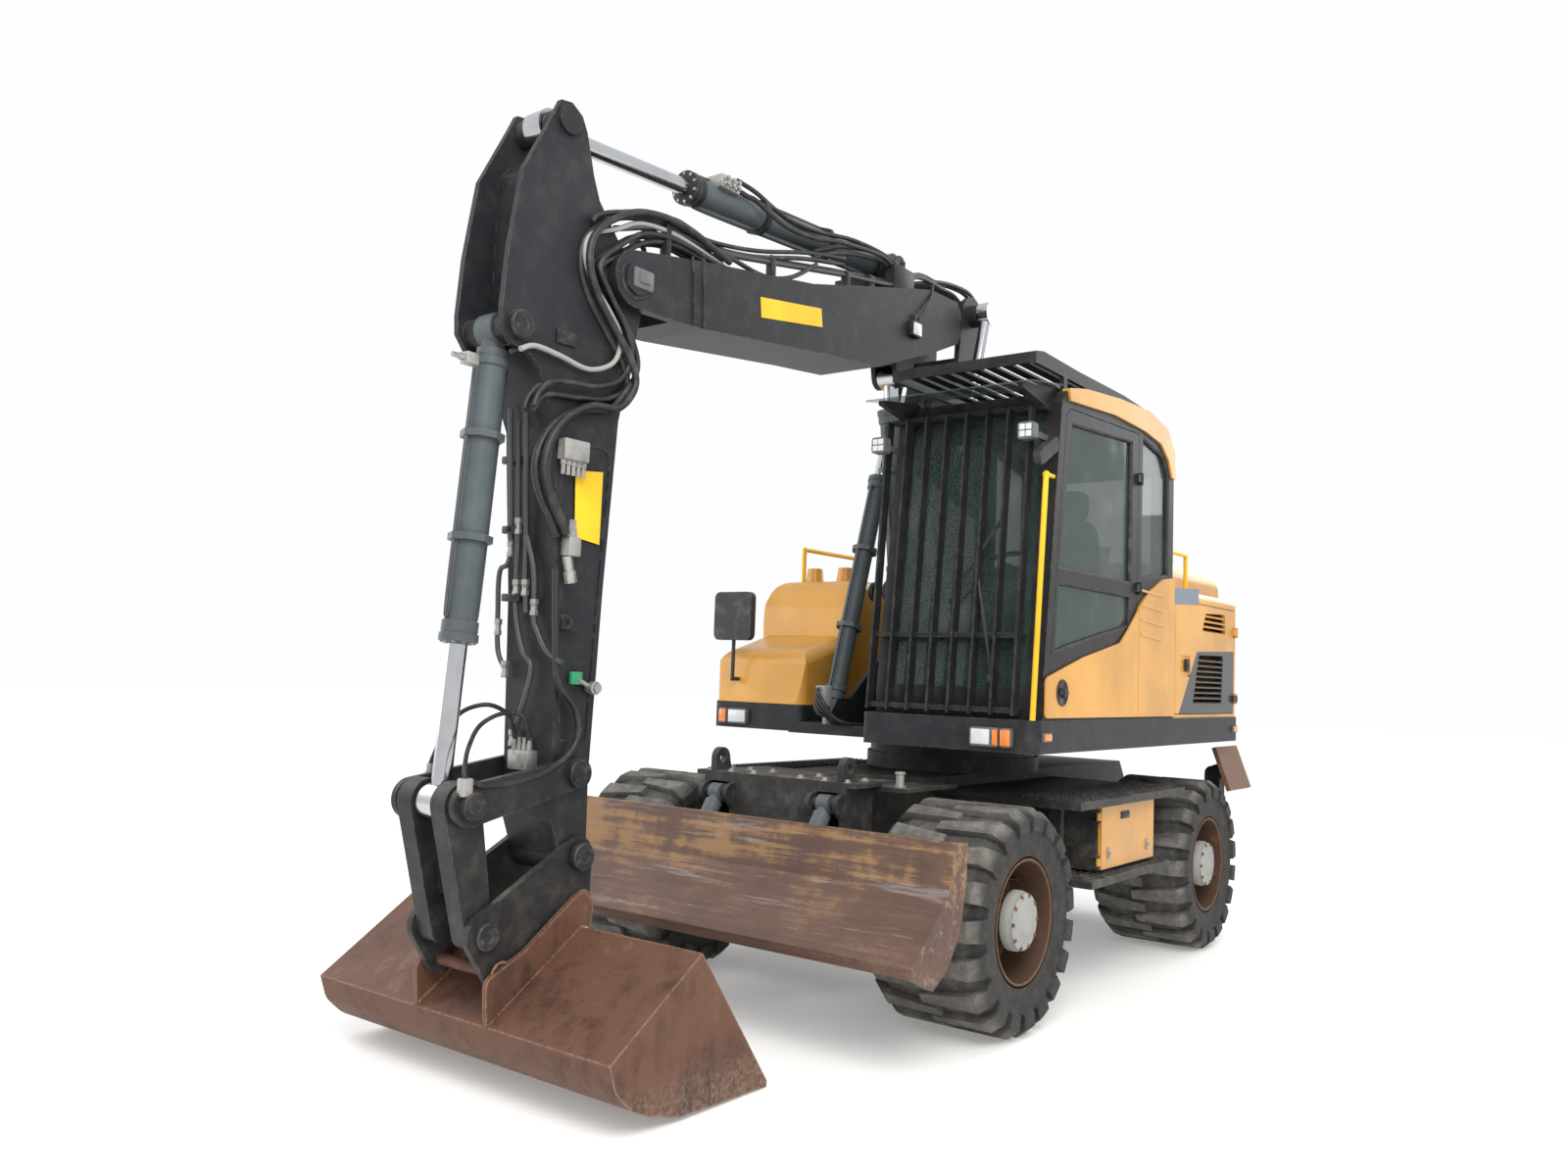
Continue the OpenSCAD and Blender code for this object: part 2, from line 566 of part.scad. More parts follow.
// Level bars across a vent, each leaning out downwards
module vent_bars(outline) intersection() {
    shape_x(housing_half - wall_t, housing_half) rounded(outline, 20);
    for (z = [outline[0][1] + vent_pitch/2:vent_pitch:outline[2][1]]) translate([0, outline[0][0] - 60, z])
        rotate([-90, 0, 0]) linear_extrude(outline[2][0] - outline[0][0] + 120)
            polygon([[housing_half - wall_t, 6], [housing_half - wall_t, -4], [housing_half - 1, 8], [housing_half - 1, 16]]);
}
// Right hood: a sloping nose and a higher box behind it, both with rounded shoulders
right_top = housing_top + 19;
hood_nose = [[right_front - 1, deck_z - 1], [cab_rear + 31, deck_z - 1], [cab_rear + 31, 1930], [-85, 1930], [-635, 1764]];
hood_nose_slope = atan2(hood_nose[3][1] - hood_nose[4][1], hood_nose[3][0] - hood_nose[4][0]);
hood_box = [[-263, 1800], [cab_rear + 31, 1800], [cab_rear + 31, right_top], [-50, right_top], [-190, 2080]];
module hood_front(z_top, r) rounded(
    [[-housing_half - 2, 0], [right_inner + 2, 0], [right_inner + 2, z_top], [-housing_half - 2, z_top]], [0, 0, r, r*1.3]);
module hood_plan(y0, r0, r1) shape_z(deck_z, 2400)
    rounded(box_outline([-housing_half, y0], [right_inner, cab_rear + 30]), [r0, r1, 0, 0]);
module right_hood() color("#d9a02b") place() {
    intersection() {
        hood_plan(right_front, 90, 60);
        shape_x(-housing_half - 40, right_inner + 40) rounded(hood_nose, [0, 0, 0, 0, 130]);
        translate([0, hood_nose[4][0], hood_nose[4][1]]) rotate([hood_nose_slope, 0, 0]) translate([0, 0, -1200])
            shape_y(-400, 1800) hood_front(1200, 90);
    }
    intersection() {
        hood_plan(-262, 110, 60);
        shape_x(-housing_half - 40, right_inner + 40) rounded(hood_box, [0, 0, 0, 150, 120]);
        shape_y(-400, 1000) hood_front(right_top + 1, 80);
    }
    for (x = [-1040, -790]) translate([x, 110, right_top - 4]) cylinder(h = 100, r1 = 62, r2 = 50);
}
module engine() color("#55585a") place()
    block([-500, 850, deck_z], [700, 1650, 2050]);

// Cab
cab_side = [
    [cab_rear, deck_z], [cab_rear, 2990], [520, 3100], [300, 3155], [0, cab_top], [-700, 3145], [-930, 3100],
    cab_face_top, cab_face_low, [cab_front, deck_z]];
door_outline = [
    [door_rear, 1500], [door_rear, 3060], [-880, 3020], [-930, 2980], [-1085, 1570], [-1080, 1500]];
front_window = [1600, 2990];
left_window = [[540, 2290], [540, 2900], [440, 3000], [110, 3050], [110, 2240]];
right_windows = [
    [[0, 1640], [0, 3040], [-880, 2960], [-1020, 1640]],
    [[500, 1900], [500, 2940], [60, 3030], [60, 1900]]];
rear_window = [2100, 2900];
door_windows = [
    [[-40, 2200], [-40, 3000], [-860, 2950], [-990, 2200]],
    [[-40, 1960], [-40, 2130], [-985, 2130], [-1020, 1780], [-500, 1880]]];
// Place of the cab's front face at height z
function face_y(z) = cab_face_low[0]
    + (cab_face_top[0] - cab_face_low[0])*(z - cab_face_low[1])/(cab_face_top[1] - cab_face_low[1]);
// Sheet along the front face, from depth d0 to d1 behind it
module front_sheet(x0, x1, zs, d0, d1) plate_x(x0, x1, [
    [face_y(zs[0]) + d1, zs[0]], [face_y(zs[1]) + d1, zs[1]],
    [face_y(zs[1]) + d0, zs[1]], [face_y(zs[0]) + d0, zs[0]]]);
module cab_shell() color("#1e2124") place() {
    difference() {
        plate_x(cab_x0, cab_x1, cab_side);
        plate_x(cab_x0 + cab_t, cab_x1 - cab_t, inset(cab_side, cab_t));
        plate_x(cab_x1 - cab_t - 1, cab_x1 + 1, door_outline);
        front_sheet(cab_x0 + cab_t + 40, cab_x1 - cab_t - 40, front_window, -50, cab_t + 50);
        for (w = right_windows) plate_x(cab_x0 - 1, cab_x0 + cab_t + 1, w);
        plate_x(cab_x1 - cab_t - 1, cab_x1 + 1, left_window);
        block([cab_x0 + 120, cab_rear - cab_t - 1, rear_window[0]], [cab_x1 - 120, cab_rear + 1, rear_window[1]]);
    }
    door_lugs(cab_x1 + hinge_off, door_rear + hinge_off, door_hinge_z,
        [cab_x1 - 10, door_rear], [cab_x1 + hinge_off, door_rear + 2*hinge_off]);
}
// Yellow skins outside the cab: the strip along the roof's edge and the panel behind the door
roof_strip = [
    [-905, 3052], [-327, 3092], [102, 3085], [370, 3055], [500, 2975], [560, 2880], [612, 2880], [600, 3040],
    [480, 3160], [173, 3212], [-263, 3194], [-719, 3152], [-935, 3112]];
rear_panel = [
    [door_rear + 6, deck_z + 12], [cab_rear, deck_z + 12], [cab_rear, 2285], [430, 2262], [197, 2165],
    [door_rear + 6, 2072]];
front_panel = [
    [cab_front + 2, deck_z + 12], [door_rear, deck_z + 12], [door_rear, 2062], [-95, 1945], [-215, 1862],
    [-700, 1768], [cab_front + 2, 1655]];
module cab_panels() color("#d9a02b") place() {
    off_cab() shape_x(cab_x1 - 28, cab_x1 + skin_t) rounded(roof_strip, [0, 0, 0, 20, 20, 0, 0, 60, 60, 20, 20, 20, 15]);
    shape_x(cab_x1 + seat_gap, cab_x1 + skin_t) rounded(rear_panel, [0, 0, 20, 150, 60, 0]);
}
// Skin over the door's lower half; a smaller backing plate seats it on the door, clear of the door's frame
door_backing = [[-1050, 1530], [20, 1530], [20, 1980], [-120, 1880], [-700, 1720], [-1050, 1630]];
module door_panel() color("#d9a02b") place() {
    shape_x(cab_x1 + door_gap, cab_x1 + skin_t) rounded(front_panel, [20, 0, 0, 60, 60, 60, 40]);
    plate_x(cab_x1 + seat_gap, cab_x1 + door_gap + 1, door_backing);
}
// Glass visor above the front window
function visor_z(y) = 3120 + (y + 955)*55/375;
visor_front = -1330;
visor_rear = -955;
module cab_glass() color([0.5, 0.6, 0.6, 0.4]) place() {
    plate_x(cab_x0, cab_x1 - 5, [
        [visor_front, visor_z(visor_front)], [visor_rear, visor_z(visor_rear)],
        [visor_rear, visor_z(visor_rear) + 8], [visor_front, visor_z(visor_front) + 8]]);
    front_sheet(cab_x0 + cab_t + 40, cab_x1 - cab_t - 40, front_window, 20, 28);
    for (w = right_windows) plate_x(cab_x0 + 20, cab_x0 + 28, w);
    plate_x(cab_x1 - 28, cab_x1 - 20, left_window);
    block([cab_x0 + 120, cab_rear - 28, rear_window[0]], [cab_x1 - 120, cab_rear - 20, rear_window[1]]);
}
module cab_seat() color("#33363a") place() {
    block([560, -380, deck_z + cab_t], [960, 120, deck_z + 350]);
    block([530, -420, deck_z + 350], [990, 100, deck_z + 480]);
    block([540, 60, deck_z + 480], [980, 200, deck_z + 1150]);
}
// Steering column and wheel, and a console with a lever on each side of the seat
module cab_controls() color("#26282a") place() {
    column_x = (cab_x0 + cab_x1)/2;
    wheel_at = [column_x, -640, deck_z + 790];
    for (x = [400, 1000]) {
        shape_x(x, x + 95) rounded([[-470, deck_z + cab_t], [20, deck_z + cab_t], [20, deck_z + 620], [-560, deck_z + 640],
            [-560, deck_z + 560]], [0, 0, 40, 25, 25]);
        translate([x + 47, -500, deck_z + 600]) rotate([12, 0, 0]) {
            cylinder(h = 190, r = 9);
            translate([0, 0, 150]) cylinder(h = 110, r1 = 24, r2 = 19);
        }
    }
    shape_x(column_x - 65, column_x + 65) polygon([
        [-980, deck_z + cab_t], [-820, deck_z + cab_t], [-690, deck_z + 700], [-790, deck_z + 730]]);
    translate(wheel_at) rotate([32, 0, 0]) {
        rotate_extrude() translate([190, 0]) circle(14);
        translate([0, 0, -110]) cylinder(h = 118, r = 45);
        for (a = [0, 120, 240]) rotate([0, 0, a]) translate([0, -14, -8]) cube([190, 28, 12]);
    }
}
// Everything that is fixed to the cab's outside stops just short of its shell
module off_cab() difference() {
    children();
    plate_x(cab_x0 - 1, cab_x1 + 1, inset(cab_side, -seat_gap));
}
module cab_guard() color("#1e2124") place() off_cab() {
    pitch = (guard_x1 - cab_x0 - bar_t)/(guard_bars - 1);
    for (i = [0:guard_bars - 1]) translate([i*pitch, 0, 0])
        plate_x(cab_x0, cab_x0 + bar_t, [[-1190, 1470], [-1060, 3000], [-1120, 3000], [-1250, 1470]]);
    for (z = [1480, 1844]) guard_shelf(guard_x1, z);
    guard_shelf(cab_x1 - 55, 2990);
    for (x = [cab_x0 + 60, cab_x1 - 90]) plate_x(x, x + 30, [
        [visor_front + 30, visor_z(visor_front + 30) - 22], [-960, 2990], [-900, 3060], [-900, 3100],
        [visor_rear, visor_z(visor_rear) - seat_gap], [visor_front + 30, visor_z(visor_front + 30) - seat_gap]]);
    for (x = roof_guard_x) {
        plate_x(x, x + 24, [[-1225, 3182], [420, 3182], [440, 3212], [380, 3226], [-100, 3250], [-733, 3248], [-1140, 3256],
            [-1225, 3240]]);
        for (y = [-900, -300, 340]) block([x, y, 3000], [x + 24, y + 40, 3200]);
    }
    for (i = [1:roof_slats]) let (x = roof_guard_x[0] + (roof_guard_x[1] - roof_guard_x[0])*i/(roof_slats + 1))
        plate_x(x - 16, x + 40, [[-1215, 3200], [-280, 3200], [-280, 3212], [-1215, 3212]]);
    for (y = [-1225, -292]) block([roof_guard_x[0], y, 3186], [roof_guard_x[1] + 24, y + 14, 3240]);
}
module guard_shelf(x1, z) plate_x(cab_x0, x1, [
    [face_y(z) + 30, z], [face_y(z) + 30, z + 25], [face_y(z) - 75, z + 25], [face_y(z) - 75, z]]);
roof_guard_x = [384, 1180];
roof_slats = 8;
module cab_door() color("#1e2124") place() {
    difference() {
        plate_x(cab_x1 - cab_t, cab_x1, inset(door_outline, door_gap));
        for (w = door_windows) plate_x(cab_x1 - cab_t - 1, cab_x1 + 1, w);
    }
    out_door_knuckles(cab_x1, door_rear, door_hinge_z);
}
module door_glass() color([0.5, 0.6, 0.6, 0.4]) place()
    for (w = door_windows) plate_x(cab_x1 - 28, cab_x1 - 20, w);
// Lamps of the upper structure: head and work lamps, indicators and side markers
module lamps() color("#c8ccd0") place() off_cab() {
    skirt_lamp(905, 1060, cab_front - 90);
    skirt_lamp(1068, 1128, cab_front - 90);
    skirt_lamp(-1090, -940, right_front);
    skirt_lamp(-1160, -1098, right_front);
    for (y = [-1168, tail_y - 100]) block([upper_half + seat_gap, y, 1348], [upper_half + 12, y + 90, 1392]);
    for (x = [275, 1120]) {
        shape_y(-1240, -1185) rounded(box_outline([x, 2808], [x + 84, 2892]), 14);
        block([x + 32, -1190, 2835], [x + 52, -950, 2865]);
    }
    translate([1120, 460, 3080]) cylinder(h = 170, r = 46);
}
module skirt_lamp(x0, x1, y) shape_y(y - 26, y - seat_gap) rounded(box_outline([x0, skirt_z + 25], [x1, skirt_z + 118]), 14);
module mirrors() color("#1e2124") place() off_cab() {
    union() {
        shape_x(1214, 1250) rounded([[-1268, 2730], [-1235, 2670], [-1050, 2774], [-1050, 2856]], 24);
        block([1150, -1090, 2795], [1225, -1070, 2815]);
        block([1150, -1090, 2795], [1170, -900, 2815]);
        shape_y(-745, -700) rounded(box_outline([-1195, 1830], [-900, 2130]), 40);
        difference() {
            tube([[-1048, -722, 1850], [-1048, -722, 1590], [-1048, -620, 1590]], 12);
            plate_x(-1100, -1000, [hood_nose[0] - [seat_gap, 0], [0, deck_z], [0, 1764], hood_nose[4] - [seat_gap, 0]]);
        }
    }
}
// Bent tube through points, with a round elbow at each
module tube(points, r) {
    for (i = [0:len(points) - 2]) let (way = points[i + 1] - points[i])
        translate(points[i]) rotate([0, acos(way[2]/norm(way)), atan2(way[1], way[0])]) cylinder(h = norm(way), r = r);
    for (i = [1:len(points) - 2]) translate(points[i]) sphere(r + 1.5);
}
module handrails() color("#e8b81e") place() {
    off_cab() difference() {
        union() {
            tube([[1215, -1112, 2650], [1215, -1210, deck_z - 8]], 14);
            translate([1215, -1112, 2650]) sphere(18);
            tube([[1215, -1112, 2650], [1215, -960, 2650]], 11);
        }
        block([1190, -1245, deck_z - 40], [1240, -1180, deck_z + seat_gap]);
    }
    tube([[-1110, 75, right_top + seat_gap], [-1110, 75, 2480], [-1110, 790, 2480],
        [-1110, 790, housing_top + seat_gap]], 15);
    tube([[1150, cab_rear + seat_gap, 2470], [1150, 1092, 2470], [1150, 1092, housing_top + seat_gap]], 13);
}

// Boom, arm and bucket
// Hollow barrel from its eye at p towards q: outer radius, length, eye radius and width, pin radius, rod radius
module cylinder_barrel(p, q, r, len, eye_r, eye_w, hole_r, rod_r) {
    neck = 1.25*eye_r;
    difference() {
        along(p, q) {
            translate([0, 0, neck]) cylinder(h = len - neck, r = r);
            translate([0, 0, len - 60]) cylinder(h = 60, r = r + 8);
            cylinder(h = neck + 1, r = min(r, eye_w/2 - 3));
            translate([-eye_w/2, 0, 0]) rotate([0, 90, 0]) cylinder(h = eye_w, r = eye_r);
        }
        rod_x(-eye_w, eye_w, p, hole_r + pin_gap);
        along(p, q) translate([0, 0, neck + barrel_floor]) cylinder(h = len, r = rod_r + pin_gap);
    }
}
// Rod from its eye at q back into the barrel that starts at p, down to tip_z from p
module cylinder_rod(p, q, r, tip_z, eye_r, eye_w) along(q, p) {
    translate([0, 0, eye_r/2]) cylinder(h = dist(p, q) - tip_z - eye_r/2, r = r);
    translate([-eye_w/2, 0, 0]) rotate([0, 90, 0]) cylinder(h = eye_w, r = eye_r);
}
module lower_boom() color("#2c3034") place() in_boom() {
    difference() {
        union() {
            plate_x(-lower_half, lower_half, [
                [-60, 1690], [-150, 2300], [-110, 3200], [0, 3640], [280, 3640], [330, 3000], [300, 2300],
                [170, 1660], [60, 1580]]);
            rod_x(-lower_half, lower_half, foot_pin, 125);
            both_sides() shape_x(boom_lug_half + side_gap, lower_half) link_outline([120, 3560], knee_pin, 150, 125);
            both_sides() shape_x(adjust_half + side_gap, adjust_half + side_gap + 30)
                link_outline([-120, 2150], adjust_base_pin, 100, 72);
        }
        rod_x(-lower_half - 1, lower_half + 1, foot_pin, main_pin_r + pin_gap);
        shape_x(-boom_lug_half - side_gap, boom_lug_half + side_gap) translate(knee_pin) circle(270);
    }
    rod_x(-lift_x + lift_half + side_gap, lift_x - lift_half - side_gap, knee_pin, main_pin_r);
    both_sides() rod_x(lower_half, lift_x - lift_half - side_gap, knee_pin, 70);
    rod_x(-adjust_half - 40, adjust_half + 40, adjust_base_pin, pin_r);
}
module outer_boom() color("#2c3034") place() in_boom() {
    difference() {
        union() {
            plate_x(-boom_half, boom_half, [
                [-2620, 3190], [-2422, 3201], [-1401, 3318], [-953, 3361], [-337, 3590], [-80, 3700], [-40, 3760],
                [-40, 3900], [-90, 3960], [-412, 3950], [-897, 3830], [-1599, 3650], [-2468, 3510], [-2620, 3480]]);
            shape_x(-boom_lug_half, boom_lug_half) link_outline([-120, 3830], knee_pin, 125, 110);
            both_sides() shape_x(arm_half + side_gap, boom_half) link_outline([-2560, 3340], boom_nose_pin, 150, 125);
            both_sides() shape_x(adjust_half + side_gap, adjust_half + side_gap + 30)
                link_outline([-500, 3580], adjust_rod_pin, 120, 70);
            both_sides() shape_x(arm_cyl_half + side_gap, arm_cyl_half + side_gap + 30)
                link_outline([-640, 3880], arm_base_pin, 110, 75);
        }
        rod_x(-300, 300, knee_pin, main_pin_r + pin_gap);
        block([-adjust_half - side_gap, -760, 3300], [adjust_half + side_gap, -330, 3640]);
    }
    rod_x(-boom_half, boom_half, boom_nose_pin, main_pin_r);
    both_sides() rod_x(boom_half, boom_half + 16, boom_nose_pin, 70);
    rod_x(-arm_cyl_half - 40, arm_cyl_half + 40, arm_base_pin, pin_r);
}
// Shallow recess in each side of the arm
arm_recess = [[-3155, 1330], [-3010, 1330], [-2976, 1963], [-2940, 2560], [-3222, 2520], [-3180, 1924]];
module arm() color("#2c3034") place() in_boom() {
    difference() {
        union() {
            plate_x(-arm_half, arm_half, [
                [-3390, 3640], [-3340, 3700], [-3220, 3700], [-3110, 3690], [-3072, 3597], [-2960, 3470], [-2790, 3330],
                [-2785, 3230], [-2905, 2683], [-2951, 1963], [-2986, 1186], [-2980, 861], [-3120, 850],
                [-3175, 1000], [-3205, 1924], [-3260, 2600], [-3390, 2880]]);
            rod_x(-arm_half, arm_half, arm_tip_pin, 75);
            rod_x(-arm_half, arm_half, boom_nose_pin, 130);
            both_sides() plate_x(arm_half - 26, arm_half, [
                [-3339, 3884], [-3310, 3945], [-3250, 3955], [-3190, 3920], [-3159, 3860], [-3110, 3690],
                [-3260, 2700], [-3400, 2860], [-3500, 2880], [-3550, 2946], [-3555, 3022], [-3537, 3262], [-3485, 3596]]);
        }
        rod_x(-300, 300, boom_nose_pin, main_pin_r + pin_gap);
        rod_x(-300, 300, arm_tip_pin, pin_r + pin_gap);
        both_sides() shape_x(arm_half - 6, arm_half + 1) rounded(arm_recess, [10, 10, 0, 60, 90, 0]);
    }
    rod_x(-arm_half - idler_gap - 30, arm_half + idler_gap + 30, arm_idler_pin, pin_r);
    rod_x(-bucket_cyl_half - side_gap - 60, bucket_cyl_half + side_gap + 60, bucket_top_pin, pin_r);
    both_sides() rod_x(bucket_cyl_half + side_gap, arm_half + 20, bucket_top_pin, 60);
    both_sides() rod_x(arm_cyl_half + side_gap, arm_half + 20, arm_top_pin, 60);
}
// Each cylinder as: outer radius, length, eye radius, eye width, rod radius, rod eye radius, and the distance of
// the rod's inner end from the barrel's pin at rest
lift_cyl = [55, 1520, 60, 2*lift_half, 36, 75, 450];
adjust_cyl = [75, 1080, 70, 2*adjust_half, 45, 68, 105];
arm_cyl = [68, 1735, 70, 2*arm_cyl_half, 40, 75, 700];
bucket_cyl = [62, 1250, 68, 2*bucket_cyl_half, 38, 72, 540];
barrel_floor = 12;
module ram_barrel(c, p, q) cylinder_barrel(p, q, c[0], c[1], c[2], c[3], pin_r, c[4]);
module ram_rod(c, p, q) cylinder_rod(p, q, c[4], c[6], c[5], c[3]);
module lift_barrels() color("#34414a") place() in_boom() both_sides() translate([lift_x, 0, 0])
    ram_barrel(lift_cyl, lift_base_pin, knee_pin);
module lift_rods() color("#c9ccce") place() in_boom() both_sides() translate([lift_x, 0, 0])
    ram_rod(lift_cyl, lift_base_pin, knee_pin);
module adjust_barrel() color("#34414a") place() in_boom() ram_barrel(adjust_cyl, adjust_base_pin, adjust_rod_pin);
module adjust_rod() color("#c9ccce") place() in_boom() ram_rod(adjust_cyl, adjust_base_pin, adjust_rod_pin);
module arm_barrel() color("#24282b") place() in_boom() ram_barrel(arm_cyl, arm_base_pin, arm_top_pin);
module arm_rod() color("#c9ccce") place() in_boom() ram_rod(arm_cyl, arm_base_pin, arm_top_pin);
module bucket_barrel() color("#55636a") place() in_boom() ram_barrel(bucket_cyl, bucket_top_pin, link_pin);
module bucket_rod() color("#c9ccce") place() in_boom() ram_rod(bucket_cyl, bucket_top_pin, link_pin);
module idler_links() color("#1e2124") place() in_boom() {
    both_sides() difference() {
        shape_x(arm_half + idler_gap, arm_half + idler_gap + 28) link_outline(arm_idler_pin, link_pin, 62, 80);
        rod_x(0, 400, arm_idler_pin, pin_r + pin_gap);
    }
    both_sides() rod_x(bucket_cyl_half + side_gap, arm_half + idler_gap + 1, link_pin, pin_r);
}
module bucket_link() color("#1e2124") place() in_boom() {
    both_sides() difference() {
        shape_x(bucket_cyl_half + side_gap + 4, arm_half - 4) link_outline(link_pin, coupler_pin, link_eye_r, 62);
        rod_x(0, 400, link_pin, pin_r + pin_gap);
    }
    plate_x(-bucket_cyl_half - 30, bucket_cyl_half + 30, [[-3505, 740], [-3520, 900], [-3560, 900], [-3545, 740]]);
}
module coupler() color("#1e2124") place() in_boom() {
    both_sides() difference() {
        shape_x(arm_half + side_gap, arm_half + side_gap + 28) {
            link_outline(arm_tip_pin, coupler_pin, 78, 85);
            link_outline(coupler_pin, bucket_pins[1], 85, 60);
            link_outline(arm_tip_pin, bucket_pins[0], 78, 60);
            polygon([arm_tip_pin, coupler_pin, bucket_pins[1], bucket_pins[0]]);
        }
        for (p = bucket_pins) rod_x(0, 400, p, bucket_pin_r + seat_gap);
    }
    rod_x(-arm_half - side_gap - 40, arm_half + side_gap + 40, arm_tip_pin, pin_r);
    rod_x(-arm_half - side_gap - 5, arm_half + side_gap + 5, [-3240, 620], 30);
}
// Bucket outline on its side plates, anticlockwise, from the cutting edge round the mouth and the back
bucket_side = [edge_low, edge_low + [0, 24], lip_back, bend_front, [-3480, 180], [-3400, 105], heel, [-3154, 20]];
side_radii = [0, 0, 0, 0, 100, 150, 170, 200];
module bucket() color("#7a4a36") place() in_boom() {
    inner = inset(bucket_side, bucket_t);
    mouth = 60*[cos(37), sin(37)];
    difference() {
        shape_x(-bucket_w/2, bucket_w/2) rounded(bucket_side, side_radii);
        shape_x(-bucket_w/2 + bucket_t, bucket_w/2 - bucket_t) rounded([
            inner[0], inner[0] + mouth, inner[2] + mouth, inner[2], inner[3], inner[4], inner[5], inner[6], inner[7]],
            [0, 0, 0, 0, 0, for (i = [4:7]) side_radii[i] - bucket_t]);
    }
    both_sides() shape_x(ear_x, ear_x + 22) rounded([
        [-2991, 672], [-3049, 738], [-3339, 534], [-3525, 451], bend_front, lip_back, [-3001, 574]],
        [40, 40, 0, 50, 0, 0, 20]);
    for (p = bucket_pins) rod_x(-ear_x - 10, ear_x + 10, p, bucket_pin_r);
}

chassis_frame();
end_frames();
slew_pedestal();
axles();
steps();
toolbox();
toolbox_door();
knuckle_left();
knuckle_right();
rim_front_left();
rim_front_right();
rim_rear_left();
rim_rear_right();
tyre_front_left();
tyre_front_right();
tyre_rear_left();
tyre_rear_right();
blade();
blade_barrels();
blade_rods();
outrigger_left();
outrigger_right();
outrigger_barrel_left();
outrigger_barrel_right();
outrigger_rod_left();
outrigger_rod_right();
upper_frame();
counterweight();
engine_housing();
engine_hood();
service_door();
right_hood();
engine();
cab_shell();
cab_panels();
cab_glass();
cab_seat();
cab_controls();
cab_guard();
cab_door();
door_panel();
door_glass();
lamps();
mirrors();
handrails();
lower_boom();
lift_barrels();
lift_rods();
outer_boom();
adjust_barrel();
adjust_rod();
arm();
arm_barrel();
arm_rod();
idler_links();
bucket_barrel();
bucket_rod();
bucket_link();
coupler();
bucket();
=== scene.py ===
import json
import math

import bmesh
import bpy
import numpy as np
from mathutils import Matrix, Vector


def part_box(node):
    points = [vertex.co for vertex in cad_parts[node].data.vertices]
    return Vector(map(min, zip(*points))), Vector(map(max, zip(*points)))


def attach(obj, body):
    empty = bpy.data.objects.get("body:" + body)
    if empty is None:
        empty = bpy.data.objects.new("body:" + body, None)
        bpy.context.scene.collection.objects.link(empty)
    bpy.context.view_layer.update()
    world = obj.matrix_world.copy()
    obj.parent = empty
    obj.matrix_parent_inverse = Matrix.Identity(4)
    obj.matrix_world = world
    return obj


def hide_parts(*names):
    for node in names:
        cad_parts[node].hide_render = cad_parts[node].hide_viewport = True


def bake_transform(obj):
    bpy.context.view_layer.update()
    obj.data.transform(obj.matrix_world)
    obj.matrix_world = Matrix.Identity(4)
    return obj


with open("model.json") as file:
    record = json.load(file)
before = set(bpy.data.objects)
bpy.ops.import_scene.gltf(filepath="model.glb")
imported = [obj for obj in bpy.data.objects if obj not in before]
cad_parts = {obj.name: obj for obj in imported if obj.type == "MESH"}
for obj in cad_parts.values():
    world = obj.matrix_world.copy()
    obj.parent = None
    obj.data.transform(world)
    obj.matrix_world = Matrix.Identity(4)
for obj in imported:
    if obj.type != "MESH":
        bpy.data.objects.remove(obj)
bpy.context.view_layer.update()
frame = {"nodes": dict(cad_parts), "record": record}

# Places below are in millimetres in the machine's own frame: X to the left, the front towards -Y,
# Y from the middle of the wheelbase and Z from the ground. SHIFT moves them into the frame's metres.
MM = 0.001
WHEELBASE = 2600
TYRE_R = 525
wheel_low, wheel_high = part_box("tyre_front_left")
rear_low, rear_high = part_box("tyre_rear_left")
SHIFT = np.array([
    (sum(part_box("tyre_front_right")[i][0] for i in (0, 1)) + wheel_low[0] + wheel_high[0]) / 4,
    (wheel_low[1] + wheel_high[1] + rear_low[1] + rear_high[1]) / 4,
    0.0])
BOOM_X = -80
LEFT = np.array([1, 0, 0])
FRONT = np.array([0, -1, 0])
UP = np.array([0, 0, 1])


def at(points):
    """Machine millimetres to frame metres, for one point or an array of points."""
    return np.asarray(points, float) * MM + SHIFT


# The photograph's camera and the mesh pieces, in machine millimetres

CAMERA_PLACE = np.array([3754.5, -6524.7, 1627.0])
CAMERA_ANGLES = (37.32, 4.10, 2.03)
FOCAL = 1231.1


def camera_axes():
    """Right, up and ahead of the camera, from its yaw, pitch and roll in degrees."""
    yaw, pitch, roll = map(math.radians, CAMERA_ANGLES)
    ahead = np.array([-math.sin(yaw) * math.cos(pitch), math.cos(yaw) * math.cos(pitch), math.sin(pitch)])
    level = np.array([math.cos(yaw), math.sin(yaw), 0.0])
    above = np.cross(level, ahead)
    right = math.cos(roll) * level + math.sin(roll) * above
    up = -math.sin(roll) * level + math.cos(roll) * above
    return right, up, ahead


def seen(spots, axis=0):
    """Places of spots (u, v, w): the view line through pixel (u, v) meets the plane at w along an axis."""
    right, up, ahead = camera_axes()
    places = []
    for u, v, w in spots:
        way = ahead * FOCAL + right * (u - 800) - up * (v - 600)
        places.append(CAMERA_PLACE + way * (w - CAMERA_PLACE[axis]) / way[axis])
    return np.array(places)


def seen_before(face, spots):
    """Places of spots (u, v, gap), each at its gap before the face whose front is at Y = face(Z)."""
    places = []
    for u, v, gap in spots:
        y = face(1500)
        for _ in range(6):
            place = seen([(u, v, y - gap)], 1)[0]
            y = face(place[2])
        places.append(place)
    return np.array(places)


def unit(v):
    """The vector with its length made 1."""
    v = np.asarray(v, float)
    return v / np.linalg.norm(v)


